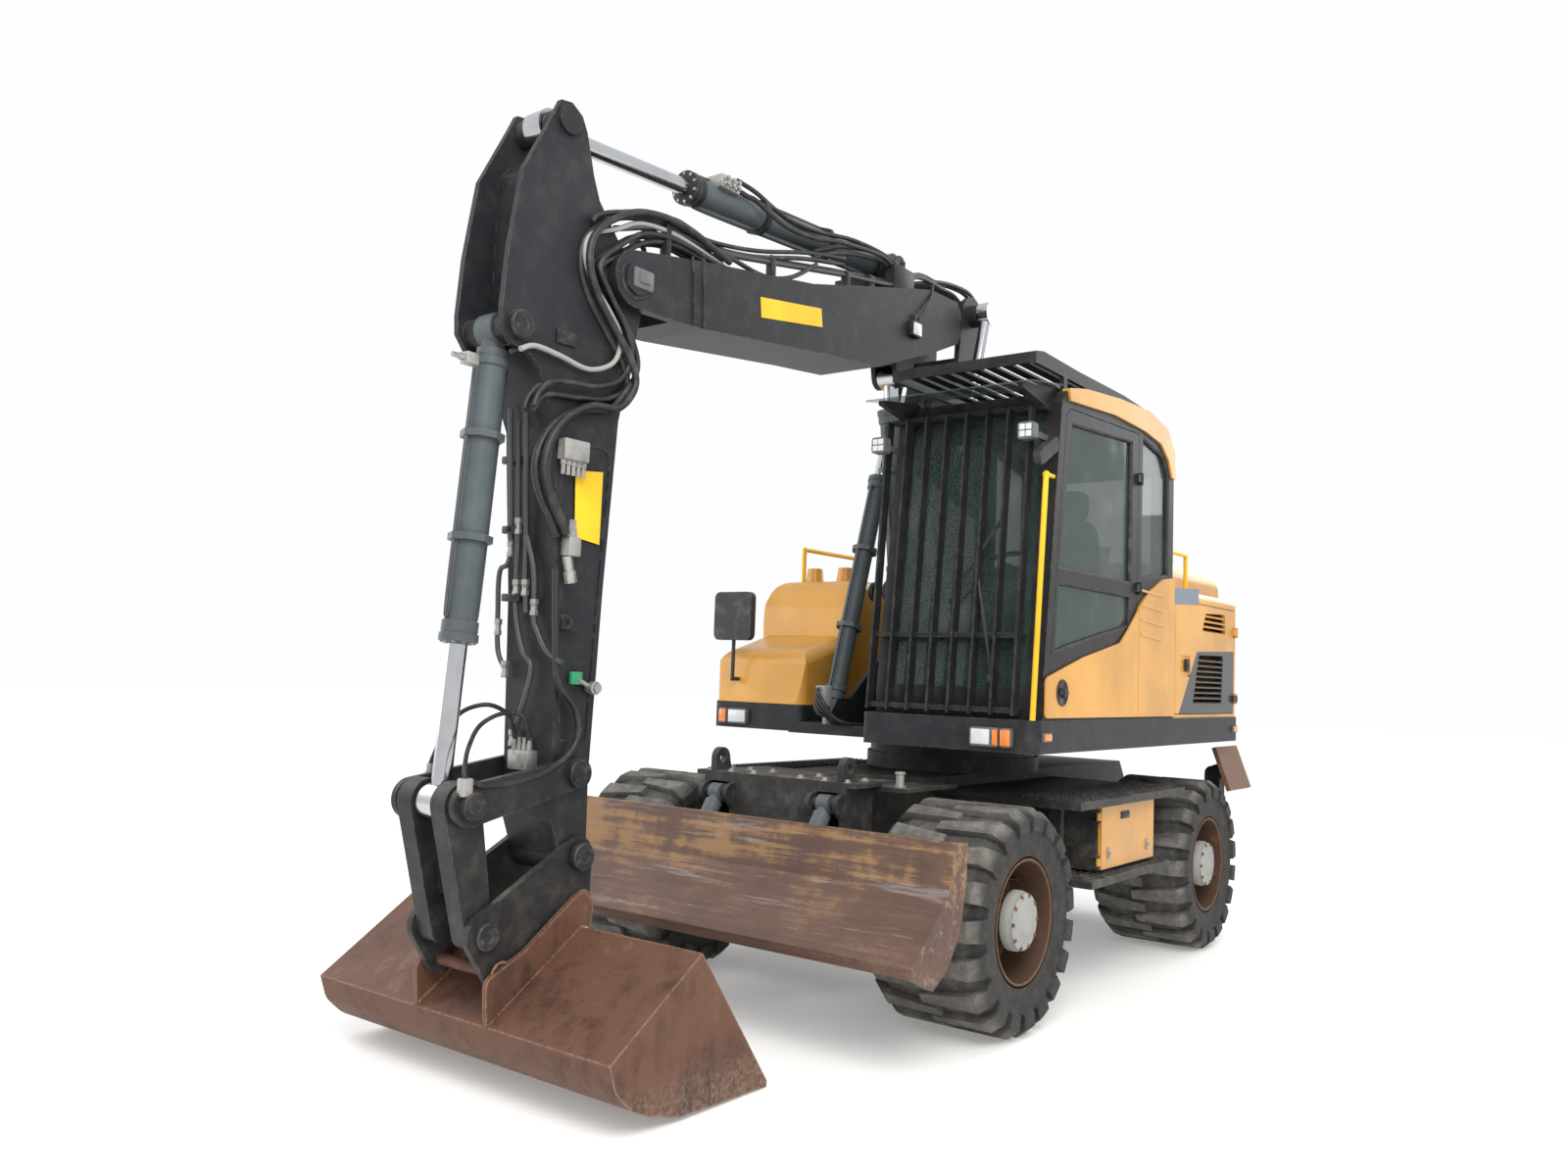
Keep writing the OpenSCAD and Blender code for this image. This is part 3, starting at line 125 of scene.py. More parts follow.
def smooth_path(points, steps=6):
    """Catmull-Rom curve through points: p(t) = 1/2 [1 t t2 t3] C [p0 p1 p2 p3] on each stretch."""
    points = np.asarray(points, float)
    if len(points) < 3:
        return points
    ends = np.vstack([2 * points[0] - points[1], points, 2 * points[-1] - points[-2]])
    curve = []
    for i in range(1, len(ends) - 2):
        a, b, c, d = ends[i - 1:i + 3]
        for t in np.arange(steps) / steps:
            curve.append(0.5 * (2 * b + (c - a) * t + (2 * a - 5 * b + 4 * c - d) * t ** 2
                                + (3 * b - a - 3 * c + d) * t ** 3))
    curve.append(points[-1])
    return np.array(curve)


def surface(rows, caps=True):
    """Quads over rings of points, rows[i][j], each ring closed, with a face over the first and last ring."""
    rows = np.asarray(rows, float)
    count, size = rows.shape[:2]
    faces = []
    for i in range(count - 1):
        for j in range(size):
            k = (j + 1) % size
            faces.append((i * size + j, i * size + k, (i + 1) * size + k, (i + 1) * size + j))
    if caps:
        faces.append(tuple(range(size))[::-1])
        faces.append(tuple(range((count - 1) * size, count * size)))
    return rows.reshape(-1, 3), faces


def tube(path, radius, sides=10):
    """Round tube: ring(i, a) = p(i) + r(i) (n cos a + b sin a), the normal carried along the path."""
    path = np.asarray(path, float)
    radii = np.broadcast_to(radius, len(path))
    ways = np.gradient(path, axis=0)
    normal = np.cross(ways[0], (0.31, 0.2, 0.93))
    angles = 2 * math.pi * np.arange(sides) / sides
    rows = []
    for place, way, r in zip(path, ways, radii):
        way = unit(way)
        normal = unit(normal - way * np.dot(normal, way))
        side = np.cross(way, normal)
        rows.append(place + r * (np.outer(np.cos(angles), normal) + np.outer(np.sin(angles), side)))
    return surface(rows)


def hose(spots, radius, sides=10):
    """Round tube on a smooth curve through the spots."""
    return tube(smooth_path(spots), radius, sides)


def turned(place, way, profile, sides=28):
    """Turned piece from rows (distance along the axis, radius); a profile that closes gets no end faces."""
    way = unit(way)
    normal = unit(np.cross(way, (0.31, 0.2, 0.93)))
    side = np.cross(way, normal)
    angles = 2 * math.pi * (np.arange(sides) + 0.5) / sides
    rows = [np.asarray(place, float) + way * along + max(r, 0.05)
            * (np.outer(np.cos(angles), normal) + np.outer(np.sin(angles), side)) for along, r in profile]
    return surface(rows, profile[0] != profile[-1])


def prism(axis, low, high, outline):
    """Flat outline pushed from low to high along an axis, 0, 1 or 2; its points give the other two places."""
    outline = np.asarray(outline, float)
    rows = [np.insert(outline, axis, value, axis=1) for value in (low, high)]
    return surface(rows)


def block(low, high, edge=4.0):
    """Box whose twelve edges are rounded over by a bevel of the given width."""
    low, high = np.minimum(low, high).astype(float), np.maximum(low, high).astype(float)
    shape = bmesh.new()
    bmesh.ops.create_cube(shape, size=1.0)
    for vertex in shape.verts:
        vertex.co = [float(v) for v in (low + high) / 2 + np.array(vertex.co) * (high - low)]
    width = min(edge, 0.45 * float(min(high - low)))
    bmesh.ops.bevel(shape, geom=shape.edges[:], offset=width, segments=2, profile=0.5, affect="EDGES")
    points = [tuple(v.co) for v in shape.verts]
    faces = [tuple(v.index for v in face.verts) for face in shape.faces]
    shape.free()
    return np.array(points), faces


def bolt(place, way, r=9.0):
    """Hexagon head on a washer."""
    washer = turned(place, way, [(0, 1.9 * r), (0.25 * r, 1.9 * r)], 16)
    head = turned(place, way, [(0.2 * r, 1.2 * r), (1.1 * r, 1.2 * r), (1.25 * r, r), (1.25 * r, 0)], 6)
    return joined(washer, head)


def nut(place, way, r, length, pipe_r, end):
    """Hose fitting: a hexagon of the given length, and the hose's steel end beyond it."""
    return turned(place, way, [(0, r), (length, r), (length + 2, pipe_r), (end, pipe_r)], 6)


def ring_of(count, make):
    """The shapes that make(angle) gives at equal angles round a circle."""
    return joined(*[make(2 * math.pi * i / count) for i in range(count)])


def joined(*shapes):
    """One shape of several, with their points and faces in the same order."""
    points, faces, base = [], [], 0
    for shape_points, shape_faces in shapes:
        points.append(np.asarray(shape_points, float))
        faces += [tuple(base + i for i in face) for face in shape_faces]
        base += len(shape_points)
    return np.vstack(points), faces


def mirrored(shape, x=0.0):
    """The shape and its mirror image across the plane at x."""
    points = np.array(shape[0], float)
    other = points.copy()
    other[:, 0] = 2 * x - other[:, 0]
    return joined(shape, (other, [face[::-1] for face in shape[1]]))


def piece(name, body, look, *shapes, angle=40):
    """One mesh object from the shapes, in material look, that rides on body if one is named."""
    points, faces = joined(*shapes)
    mesh = bpy.data.meshes.new(name)
    mesh.from_pydata([tuple(map(float, p)) for p in at(points)], [], faces)
    mesh.validate()
    shape = bmesh.new()
    shape.from_mesh(mesh)
    bmesh.ops.recalc_face_normals(shape, faces=shape.faces)
    shape.to_mesh(mesh)
    shape.free()
    mesh.shade_smooth()
    mesh.set_sharp_from_angle(angle=math.radians(angle))
    mesh.materials.append(M[look])
    thing = bpy.data.objects.new(name, mesh)
    bpy.context.collection.objects.link(thing)
    if body:
        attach(thing, body)
    look in LOOK_SLOTS
    return thing


# Making the camera and the lights

def make_camera():
    """The photograph's viewpoint, from the place, angles and focal length in pixels above."""
    right, up, ahead = camera_axes()
    data = bpy.data.cameras.new("camera")
    data.sensor_width = 36
    data.lens = 36 * FOCAL / 1600
    data.clip_end = 300
    camera = bpy.data.objects.new("camera", data)
    bpy.context.collection.objects.link(camera)
    turn = np.eye(4)
    turn[:3, :3] = np.column_stack([right, up, -ahead])
    turn[:3, 3] = at(CAMERA_PLACE)
    camera.matrix_world = Matrix(turn.tolist())
    bpy.context.scene.camera = camera


def make_light(name, place, target, size, power, colour):
    """A square area lamp at place, in machine millimetres, that shines towards target."""
    data = bpy.data.lights.new(name, "AREA")
    data.size = size
    data.energy = power
    data.color = colour
    lamp = bpy.data.objects.new(name, data)
    bpy.context.collection.objects.link(lamp)
    from_point = at(place)
    way = at(target) - from_point
    flat = math.hypot(way[0], way[1])
    lamp.location = [float(v) for v in from_point]
    lamp.rotation_euler = (math.atan2(flat, -way[2]), 0, math.atan2(way[1], way[0]) - math.pi / 2)


# Shader expressions

class Value:
    """A number socket that takes part in arithmetic. Each operator adds its Math node."""

    def __init__(self, shader, socket):
        self.shader = shader
        self.socket = socket

    def math(self, operation, *others):
        return self.shader.math(operation, self, *others)

    def __add__(self, other):
        return self.math("ADD", other)

    def __sub__(self, other):
        return self.math("SUBTRACT", other)

    def __mul__(self, other):
        return self.math("MULTIPLY", other)

    def __rsub__(self, other):
        return self.shader.math("SUBTRACT", other, self)

    __radd__ = __add__
    __rmul__ = __mul__

    def ramp(self, low, high):
        """0 below low and 1 above high, smooth in between; a low above high turns it round."""
        node = self.shader.node("ShaderNodeMapRange", {"interpolation_type": "SMOOTHSTEP", "clamp": True},
                                Value=self, **{"From Min": low, "From Max": high})
        return Value(self.shader, node.outputs["Result"])


class Shader:
    """A material and its node tree."""

    def __init__(self, name):
        self.material = bpy.data.materials.new(name)
        self.material.use_nodes = True
        self.tree = self.material.node_tree
        self.tree.nodes.clear()
        self.place = self.node("ShaderNodeTexCoord").outputs["Object"]
        self.surface = self.node("ShaderNodeBsdfPrincipled")
        self.output = self.node("ShaderNodeOutputMaterial", Surface=self.surface.outputs["BSDF"])

    def node(self, kind, settings=None, stops=None, **inputs):
        """Adds a node, with its settings and ramp stops first and then its input values or links."""
        node = self.tree.nodes.new(kind)
        for key, value in (settings or {}).items():
            setattr(node, key, value)
        if stops:
            ramp = node.color_ramp
            while len(ramp.elements) < len(stops):
                ramp.elements.new(0.5)
            for element, (position, colour) in zip(ramp.elements, stops):
                element.position = position
                element.color = (*colour, 1.0)
        for key, value in inputs.items():
            self.feed(node.inputs[key], value)
        return node

    def feed(self, socket, value):
        """Links a socket or a Value to an input, or sets the input to a number or a colour."""
        if isinstance(value, Value):
            value = value.socket
        if isinstance(value, bpy.types.NodeSocket):
            self.tree.links.new(value, socket)
        elif isinstance(value, (tuple, list)) and len(value) == 3 and socket.type == "RGBA":
            socket.default_value = (*value, 1.0)
        else:
            socket.default_value = value

    def math(self, operation, *values):
        node = self.tree.nodes.new("ShaderNodeMath")
        node.operation = operation
        for socket, value in zip(node.inputs, values):
            self.feed(socket, value)
        return Value(self, node.outputs[0])

    def noise(self, scale, detail=4.0, roughness=0.55, stretch=(1, 1, 1), distortion=0.0):
        """Noise from 0 to 1 whose grain is 1/scale metres; stretch scales the place along each axis."""
        place = self.node("ShaderNodeMapping", Vector=self.place, Scale=stretch).outputs["Vector"]
        node = self.node("ShaderNodeTexNoise", Vector=place, Scale=scale, Detail=detail,
                         Roughness=roughness, Distortion=distortion)
        return Value(self, node.outputs["Fac"])

    def height(self):
        """Height above the ground in metres."""
        node = self.node("ShaderNodeSeparateXYZ", Vector=self.place)
        return Value(self, node.outputs["Z"])

    def across(self):
        """Distance from the machine's middle plane in metres."""
        node = self.node("ShaderNodeSeparateXYZ", Vector=self.place)
        return self.math("ABSOLUTE", Value(self, node.outputs["X"]))

    def rearward(self):
        """Place along the machine in metres, 0 at the middle of the wheelbase."""
        node = self.node("ShaderNodeSeparateXYZ", Vector=self.place)
        return Value(self, node.outputs["Y"]) - float(SHIFT[1])

    def upward(self):
        """How far the surface faces up, from -1 to 1."""
        normal = self.node("ShaderNodeNewGeometry").outputs["Normal"]
        node = self.node("ShaderNodeSeparateXYZ", Vector=normal)
        return Value(self, node.outputs["Z"])

    def edges(self, radius=0.008):
        """1 on edges and 0 on flats, from the Bevel node's normal against the plain one."""
        plain = self.node("ShaderNodeNewGeometry").outputs["Normal"]
        soft = self.node("ShaderNodeBevel", {"samples": 4}, Radius=radius).outputs["Normal"]
        node = self.node("ShaderNodeVectorMath", {"operation": "DOT_PRODUCT"})
        self.tree.links.new(plain, node.inputs[0])
        self.tree.links.new(soft, node.inputs[1])
        return Value(self, node.outputs["Value"]).ramp(0.995, 0.93)

    def mix(self, amount, first, second):
        """Colour from first, at amount 0, to second, at amount 1."""
        node = self.tree.nodes.new("ShaderNodeMix")
        node.data_type = "RGBA"
        self.feed(node.inputs[0], amount)
        self.feed(node.inputs[6], first)
        self.feed(node.inputs[7], second)
        return node.outputs[2]

    def bump(self, height, strength, distance):
        node = self.node("ShaderNodeBump", Height=height, Strength=strength, Distance=distance)
        self.feed(self.surface.inputs["Normal"], node.outputs["Normal"])

    def finish(self, colour, roughness, metallic=0.0, **others):
        self.feed(self.surface.inputs["Base Color"], colour)
        self.feed(self.surface.inputs["Roughness"], roughness)
        self.feed(self.surface.inputs["Metallic"], metallic)
        for key, value in others.items():
            self.feed(self.surface.inputs[key.replace("_", " ")], value)
        return self.material


DUST = (0.33, 0.29, 0.24)


def paint(name, colour, gloss=0.4, dust=0.35, wear=0.6, chipped=(0.14, 0.13, 0.12), coat=0.0, shine=0.22,
          part=None):
    """Sprayed paint with slow fading, dust on upward faces and low down, and chips on edges.

    part gives the amount and the colour of a second paint.
    """
    s = Shader(name)
    fade = s.noise(1.6, 3)
    grime = s.noise(9, 8, 0.65)
    fine = s.noise(70, 3)
    settled = s.upward().ramp(0.2, 1.0) * 0.6 + s.height().ramp(1.6, 0.2) * 0.5 + 0.25
    dusty = (grime.ramp(0.42, 0.75) * settled * dust + settled * dust * 0.25)
    chips = s.edges() * s.noise(26, 5).ramp(0.45, 0.62) * wear
    dark = tuple(0.80 * c for c in colour)
    light = tuple(min(1.0, 1.12 * c) for c in colour)
    base = s.mix(fade.ramp(0.3, 0.7), dark, light)
    if part:
        amount, other = part(s)
        base = s.mix(amount, base, other)
    base = s.mix(dusty, base, DUST)
    base = s.mix(chips, base, chipped)
    s.bump(fine + grime * 0.6, 0.12, 0.002)
    rough = dusty * 0.5 + fine * 0.12 + gloss
    return s.finish(base, rough, Coat_Weight=coat, Coat_Roughness=0.12, Specular_IOR_Level=shine)


def rusty(name, dark=(0.085, 0.03, 0.018), mid=(0.20, 0.078, 0.042), bright=(0.36, 0.17, 0.09)):
    """Bare plate that has rusted: three browns in patches, pitted, with run marks downwards."""
    s = Shader(name)
    patch = s.noise(3.2, 8, 0.68)
    grain = s.noise(60, 6, 0.7)
    runs = s.noise(14, 5, 0.6, stretch=(1, 1, 0.12))
    colour = s.node("ShaderNodeValToRGB", stops=[(0.38, dark), (0.50, mid), (0.56, mid), (0.68, bright)],
                    Fac=patch * 0.6 + runs * 0.25 + grain * 0.15).outputs["Color"]
    pale = tuple(1.5 * c + 0.02 for c in bright)
    colour = s.mix(s.edges(0.012) * grain.ramp(0.35, 0.55) * 0.8, colour, pale)
    colour = s.mix(s.height().ramp(0.25, 0.0) * grain.ramp(0.4, 0.7) * 0.5, colour, DUST)
    s.bump(grain * 0.7 + patch * 0.3, 0.35, 0.003)
    return s.finish(colour, grain * 0.3 + 0.55, 0.1)


def blade_plate():
    """Worn blade: rust, scratches along its width, and remains of its first yellow paint."""
    s = Shader("blade_plate")
    patch = s.noise(2.6, 8, 0.65)
    scratch = s.noise(5, 8, 0.7, stretch=(0.25, 5, 5))
    grain = s.noise(55, 6, 0.7)
    rust = s.node("ShaderNodeValToRGB", stops=[(0.3, (0.050, 0.028, 0.022)), (0.52, (0.12, 0.066, 0.046)),
                                               (0.75, (0.26, 0.165, 0.11))],
                  Fac=patch * 0.4 + scratch * 0.35 + grain * 0.25).outputs["Color"]
    drip = s.noise(9, 6, 0.6, stretch=(1, 1, 0.2))
    upper = s.height().ramp(0.55, 0.80)
    left = (scratch * 0.45 + patch * 0.35 + drip * 0.2 + upper * 0.05).ramp(0.53, 0.60)
    colour = s.mix(left * (upper * 0.8 + 0.2) * 0.62, rust, (0.36, 0.20, 0.075))
    grey = s.noise(7, 8, 0.7, stretch=(0.2, 3, 3)).ramp(0.56, 0.66)
    colour = s.mix(grey * 0.55, colour, (0.30, 0.27, 0.25))
    s.bump(grain * 0.5 + scratch * 0.5, 0.3, 0.003)
    return s.finish(colour, grain * 0.3 + 0.45, 0.15)


def tyre_rubber():
    """Worn rubber: r, the distance from the axle, is hypot(|y| - half the wheelbase, z - tyre radius)."""
    s = Shader("tyre_rubber")
    grime = s.noise(12, 8, 0.7)
    fine = s.noise(90, 4, 0.6)
    along = s.math("ABSOLUTE", s.rearward()) - 0.5 * WHEELBASE * MM
    level = s.height() - TYRE_R * MM
    r = s.math("SQRT", along * along + level * level)
    pale = r.ramp(0.47, 0.515)
    wall = s.mix(grime.ramp(0.35, 0.75), (0.018, 0.018, 0.018), (0.055, 0.052, 0.048))
    lug = s.mix(grime.ramp(0.35, 0.75), (0.085, 0.080, 0.072), (0.20, 0.19, 0.17))
    colour = s.mix(pale, wall, lug)
    colour = s.mix(fine.ramp(0.5, 0.8) * 0.18, colour, (0.22, 0.20, 0.18))
    s.bump(grime * 0.5 + fine * 0.5, 0.3, 0.003)
    return s.finish(colour, grime * 0.15 + 0.8)


def chrome():
    s = Shader("rod_chrome")
    smear = s.noise(8, 5, 0.6)
    colour = s.mix(smear.ramp(0.4, 0.8) * 0.4, (0.50, 0.51, 0.53), (0.30, 0.28, 0.26))
    return s.finish(colour, smear * 0.18 + 0.10, 1.0)


def clear_glass(name, tint=(0.045, 0.075, 0.068), alpha=0.50):
    """Tinted pane: mostly see-through, with dust."""
    s = Shader(name)
    dust = s.noise(4, 5, 0.6).ramp(0.45, 0.85)
    colour = s.mix(dust * 0.3, tint, (0.3, 0.31, 0.30))
    return s.finish(colour, dust * 0.08 + 0.03, Alpha=dust * 0.06 + alpha)


def moulded(name, colour=(0.02, 0.021, 0.023), rough=0.55, dust=0.25):
    """Black moulded plastic or rubber hose skin, with a fine grain and some dust."""
    s = Shader(name)
    grime = s.noise(14, 6, 0.65)
    grain = s.noise(220, 2)
    base = s.mix(grime.ramp(0.45, 0.8) * dust, colour, DUST)
    s.bump(grain, 0.15, 0.001)
    return s.finish(base, grime * 0.2 + rough)


def cloth():
    """Woven seat cloth with a fine diagonal grain."""
    s = Shader("seat_cloth")
    weave = s.noise(400, 2, stretch=(1, 0.3, 1))
    wear = s.noise(8, 4)
    base = s.mix(wear.ramp(0.3, 0.7), (0.035, 0.037, 0.042), (0.075, 0.077, 0.082))
    s.bump(weave, 0.4, 0.001)
    return s.finish(base, 0.9)


def lens(name, colour, rough=0.12):
    """Lamp lens with a fine vertical ribbing."""
    s = Shader(name)
    ribs = s.noise(160, 2, stretch=(1, 1, 0.1))
    grime = s.noise(10, 5)
    s.bump(ribs, 0.25, 0.001)
    base = s.mix(grime.ramp(0.4, 0.8) * 0.35, colour, DUST)
    return s.finish(base, grime * 0.2 + rough, Coat_Weight=0.6)


def bare_metal(name, colour, rough=0.38, metallic=0.85):
    """Plated or bare metal with dull patches and some rust in the grain."""
    s = Shader(name)
    patch = s.noise(18, 6, 0.65)
    grain = s.noise(120, 4)
    base = s.mix(patch.ramp(0.45, 0.75) * 0.55, colour, (0.12, 0.10, 0.085))
    s.bump(grain, 0.15, 0.001)
    return s.finish(base, patch * 0.3 + rough, metallic)


def service_door_part(s):
    """Black on the service door's lower rear part: below two lines z = a + b (y - c)."""
    y, z = s.rearward(), s.height()
    slope = ((y - 0.730) * 1.204 + 1.448) - z
    level = ((y - 1.073) * 0.037 + 1.861) - z
    return s.math("MINIMUM", slope, level).ramp(-0.004, 0.004), (0.020, 0.022, 0.025)


def pad_part(s):
    """Rust on the folded outrigger's ground pad: the part beyond a plane that leans 20 degrees."""
    out = (s.across() - 1.060) * 0.940 + (s.height() - 1.055) * 0.342
    return out.ramp(0.106, 0.110), (0.16, 0.075, 0.042)


def floor_finish():
    """Pale floor that shows as near white to the camera and in reflections, and takes the shadow."""
    s = Shader("floor")
    tone = s.noise(0.6, 3)
    return s.finish(s.mix(tone, (0.78, 0.775, 0.76), (0.80, 0.795, 0.785)), 0.85,
                    Emission_Color=(1.0, 0.99, 0.97), Emission_Strength=0.22)


BLACK_PAINT = (0.013, 0.015, 0.019)
YELLOW_PAINT = dict(colour=(0.62, 0.30, 0.045), gloss=0.30, dust=0.14, wear=0.2, chipped=(0.30, 0.24, 0.16),
                    coat=0.2, shine=0.4)
M = {
    "dark": paint("dark_paint", BLACK_PAINT, gloss=0.38, dust=0.22, wear=0.6),
    "chassis": paint("chassis_paint", (0.014, 0.016, 0.019), gloss=0.42, dust=0.42, wear=0.7),
    "black": paint("black_paint", (0.012, 0.013, 0.015), gloss=0.36, dust=0.2, wear=0.5),
    "yellow": paint("yellow_paint", **YELLOW_PAINT),
    "door": paint("service_door_paint", **YELLOW_PAINT, part=service_door_part),
    "pads": paint("outrigger_paint", BLACK_PAINT, gloss=0.4, dust=0.35, wear=0.8, part=pad_part),
    "rail": paint("rail_paint", (0.80, 0.48, 0.02), gloss=0.30, dust=0.1, wear=0.3,
                  chipped=(0.2, 0.16, 0.1)),
    "ram": paint("ram_paint", (0.075, 0.095, 0.105), gloss=0.38, dust=0.28, wear=0.9,
                 chipped=(0.22, 0.08, 0.04)),
    "rim": rusty("rim_rust", (0.030, 0.019, 0.013), (0.085, 0.043, 0.024), (0.19, 0.09, 0.045)),
    "bucket": rusty("bucket_rust", (0.055, 0.024, 0.015), (0.125, 0.056, 0.033), (0.22, 0.125, 0.080)),
    "worn": bare_metal("worn_edge", (0.30, 0.27, 0.25), 0.42, 0.7),
    "blade": blade_plate(),
    "tyre": tyre_rubber(),
    "chrome": chrome(),
    "steel": bare_metal("bare_fittings", (0.42, 0.41, 0.39)),
    "pipe": bare_metal("pipe_steel", (0.075, 0.08, 0.085), 0.35, 0.6),
    "hub": paint("hub_paint", (0.33, 0.34, 0.33), gloss=0.45, dust=0.5, wear=0.9,
                 chipped=(0.10, 0.07, 0.05)),
    "glass": clear_glass("cab_pane"),
    "lens": lens("lamp_lens", (0.62, 0.64, 0.66)),
    "orange": lens("orange_lens", (0.80, 0.20, 0.01)),
    "lamp": moulded("lamp_body", (0.10, 0.105, 0.11), 0.4, 0.2),
    "plastic": moulded("black_plastic"),
    "hose": moulded("hose_rubber", (0.012, 0.012, 0.013), 0.42, 0.18),
    "pale_hose": moulded("pale_hose_rubber", (0.30, 0.30, 0.28), 0.5, 0.3),
    "cloth": cloth(),
    "engine": paint("engine_paint", (0.10, 0.10, 0.10), gloss=0.5),
    "plate": paint("blank_plate", (0.78, 0.50, 0.02), gloss=0.35, dust=0.1, wear=0.2),
    "slate": paint("blank_slate_plate", (0.16, 0.20, 0.24), gloss=0.35, dust=0.1, wear=0.2),
    "tag": paint("tag_plastic", (0.03, 0.30, 0.14), gloss=0.35, dust=0.1, wear=0.1),
}
SLOT_LOOKS = {
    "dark_paint": "dark", "black_paint": "black", "yellow_paint": "yellow", "rail_paint": "rail",
    "ram_paint": "ram", "rod_chrome": "chrome", "tyre_rubber": "tyre", "rim_rust": "rim",
    "blade_steel": "blade", "bucket_steel": "bucket", "glass": "glass", "black_plastic": "plastic",
    "seat_fabric": "cloth", "engine_paint": "engine", "lamp_grey": "lamp",
}
LOOK_SLOTS = {look: slot for slot, look in SLOT_LOOKS.items()}
LOOK_SLOTS.update(chassis="dark_paint", pads="dark_paint", door="yellow_paint", pipe="dark_paint",
                  hose="black_plastic", worn="bucket_steel", lens="lamp_grey")
NODE_LOOKS = {"service_door": "door", "outrigger_left": "pads", "outrigger_right": "pads"}
NODE_LOOKS.update(dict.fromkeys((
    "chassis_frame", "end_frames", "slew_pedestal", "axles", "steps", "toolbox", "knuckle_left",
    "knuckle_right"), "chassis"))
for part in frame["record"]["subparts"]:
    look = NODE_LOOKS.get(part["node"], SLOT_LOOKS[part["material_slot"]])
    node = frame["nodes"][part["node"]]
    node.data.materials.clear()
    node.data.materials.append(M[look])


# Wheels: hub cap, bolts, lock ring and tyre valve

# Each wheel: its side, 1 on the left, and its end, 1 at the rear
WHEELS = {"wheel_front_left": (1, -1), "wheel_front_right": (-1, -1),
          "wheel_rear_left": (1, 1), "wheel_rear_right": (-1, 1)}
WHEEL_X = 972
# Distances outwards from the middle of the tyre
HUB_FACE = 268
DISC_FACE = 62
RIM_FACE = 250
# Radii of the bolt circles and of the valve's place
HUB_BOLTS_R = 120
DISC_BOLTS_R = 172
VALVE_R = 262
HUB_PROFILE = [(0, 139), (34, 139), (40, 134), (60, 131), (64, 112), (67, 70), (72, 64), (76, 52), (76, 0)]
LOCK_RING = [(0, 291), (12, 284), (20, 291), (20, 299), (0, 299), (0, 291)]


def wheel_pieces(body, side, end):
    centre = np.array([side * WHEEL_X, end * WHEELBASE / 2, TYRE_R], float)
    out = side * LEFT

    def spot(angle, r, along):
        return centre + out * along + r * np.array([0, math.cos(angle), math.sin(angle)])

    piece(body + "_hub", body, "hub", turned(centre + out * (HUB_FACE - 60), out, HUB_PROFILE, 40))
    piece(body + "_nuts", body, "rim",
          ring_of(10, lambda a: bolt(spot(a, HUB_BOLTS_R, HUB_FACE), out, 7)),
          ring_of(10, lambda a: bolt(spot(a, DISC_BOLTS_R, DISC_FACE), out, 13)),
          turned(centre + out * RIM_FACE, out, LOCK_RING, 64))
    piece(body + "_valve", body, "steel", tube([spot(0.6, VALVE_R, 55), spot(0.6, VALVE_R, 120)], 5, 8))


for body, (side, end) in WHEELS.items():
    wheel_pieces(body, side, end)

# Cylinders: a bolted collar at each gland, a port block on the barrel and a pipe along it

# Barrel: its two pins [y, z], its places across, its length and the radii of barrel and rod
CYLINDERS = {
    "lift_barrels": ([(-620, 1420), (146, 3933)], (BOOM_X - 280, BOOM_X + 280), 1520, 55, 36),
    "adjust_barrel": ([(-330, 2150), (-520, 3420)], (BOOM_X,), 1080, 75, 45),
    "arm_barrel": ([(-650, 4045), (-3266, 3872)], (BOOM_X,), 1735, 68, 40),
    "bucket_barrel": ([(-3466, 2962), (-3612, 1098)], (BOOM_X,), 1250, 62, 38),
}


def along_pins(pins, x, distance, up=0.0):
    """Place at a distance from the first pin towards the second, moved off the line by up."""
    first, second = (np.array([x, *pin], float) for pin in pins)
    way = unit(second - first)
    return first + way * distance + np.cross(way, LEFT) * up


def gland(front, way, r, rod_r):
    """Collar at the rod's end of a barrel, with a flange for its bolts and a hole for the rod."""
    return turned(front - way * 78, way, [
        (0, r), (6, r + 9), (44, r + 9), (46, r + 2), (52, r + 2), (54, r + 14), (84, r + 14),
        (86, r + 4), (94, rod_r + 12), (94, rod_r + 1)], 36)


def cylinder_pieces(body, pins, places_x, length, r, rod_r):
    shapes, studs, pipes = [], [], []
    for x in places_x:
        way = along_pins(pins, x, 1) - along_pins(pins, x, 0)
        off = np.cross(way, LEFT)
        front = along_pins(pins, x, length)
        shapes.append(gland(front, way, r, rod_r))
        shapes.append(turned(along_pins(pins, x, 120), way, [(0, r), (4, r + 8), (34, r + 8), (38, r)], 36))
        for angle in np.arange(10) * math.pi / 5:
            around = math.cos(angle) * off + math.sin(angle) * LEFT
            studs.append(bolt(front + way * 5 + (r - 1) * around, way, 7))
        for up in (1, -1):
            stops = [(110, r), (150, r + 16), (240, r + 15), (length - 170, r + 15), (length - 90, r + 2)]
            pipes.append(hose([along_pins(pins, x, distance, up * off_line) for distance, off_line in stops],
                              8, 8))
        for share in (0.35, 0.68):
            place = along_pins(pins, x, length * share)
            shapes.append(turned(place - way * 14, way, [(0, r), (0, r + 26), (28, r + 26), (28, r)], 8))
    piece(body + "_collars", body, "dark" if body == "arm_barrel" else "ram", *shapes)
    piece(body + "_bolts", body, "steel", *studs)
    piece(body + "_pipes", body, "pipe", *pipes)


for body, sizes in CYLINDERS.items():
    cylinder_pieces(body, *sizes)

# Pins: caps with bolts at the ends of the boom's, arm's and bucket linkage's pins

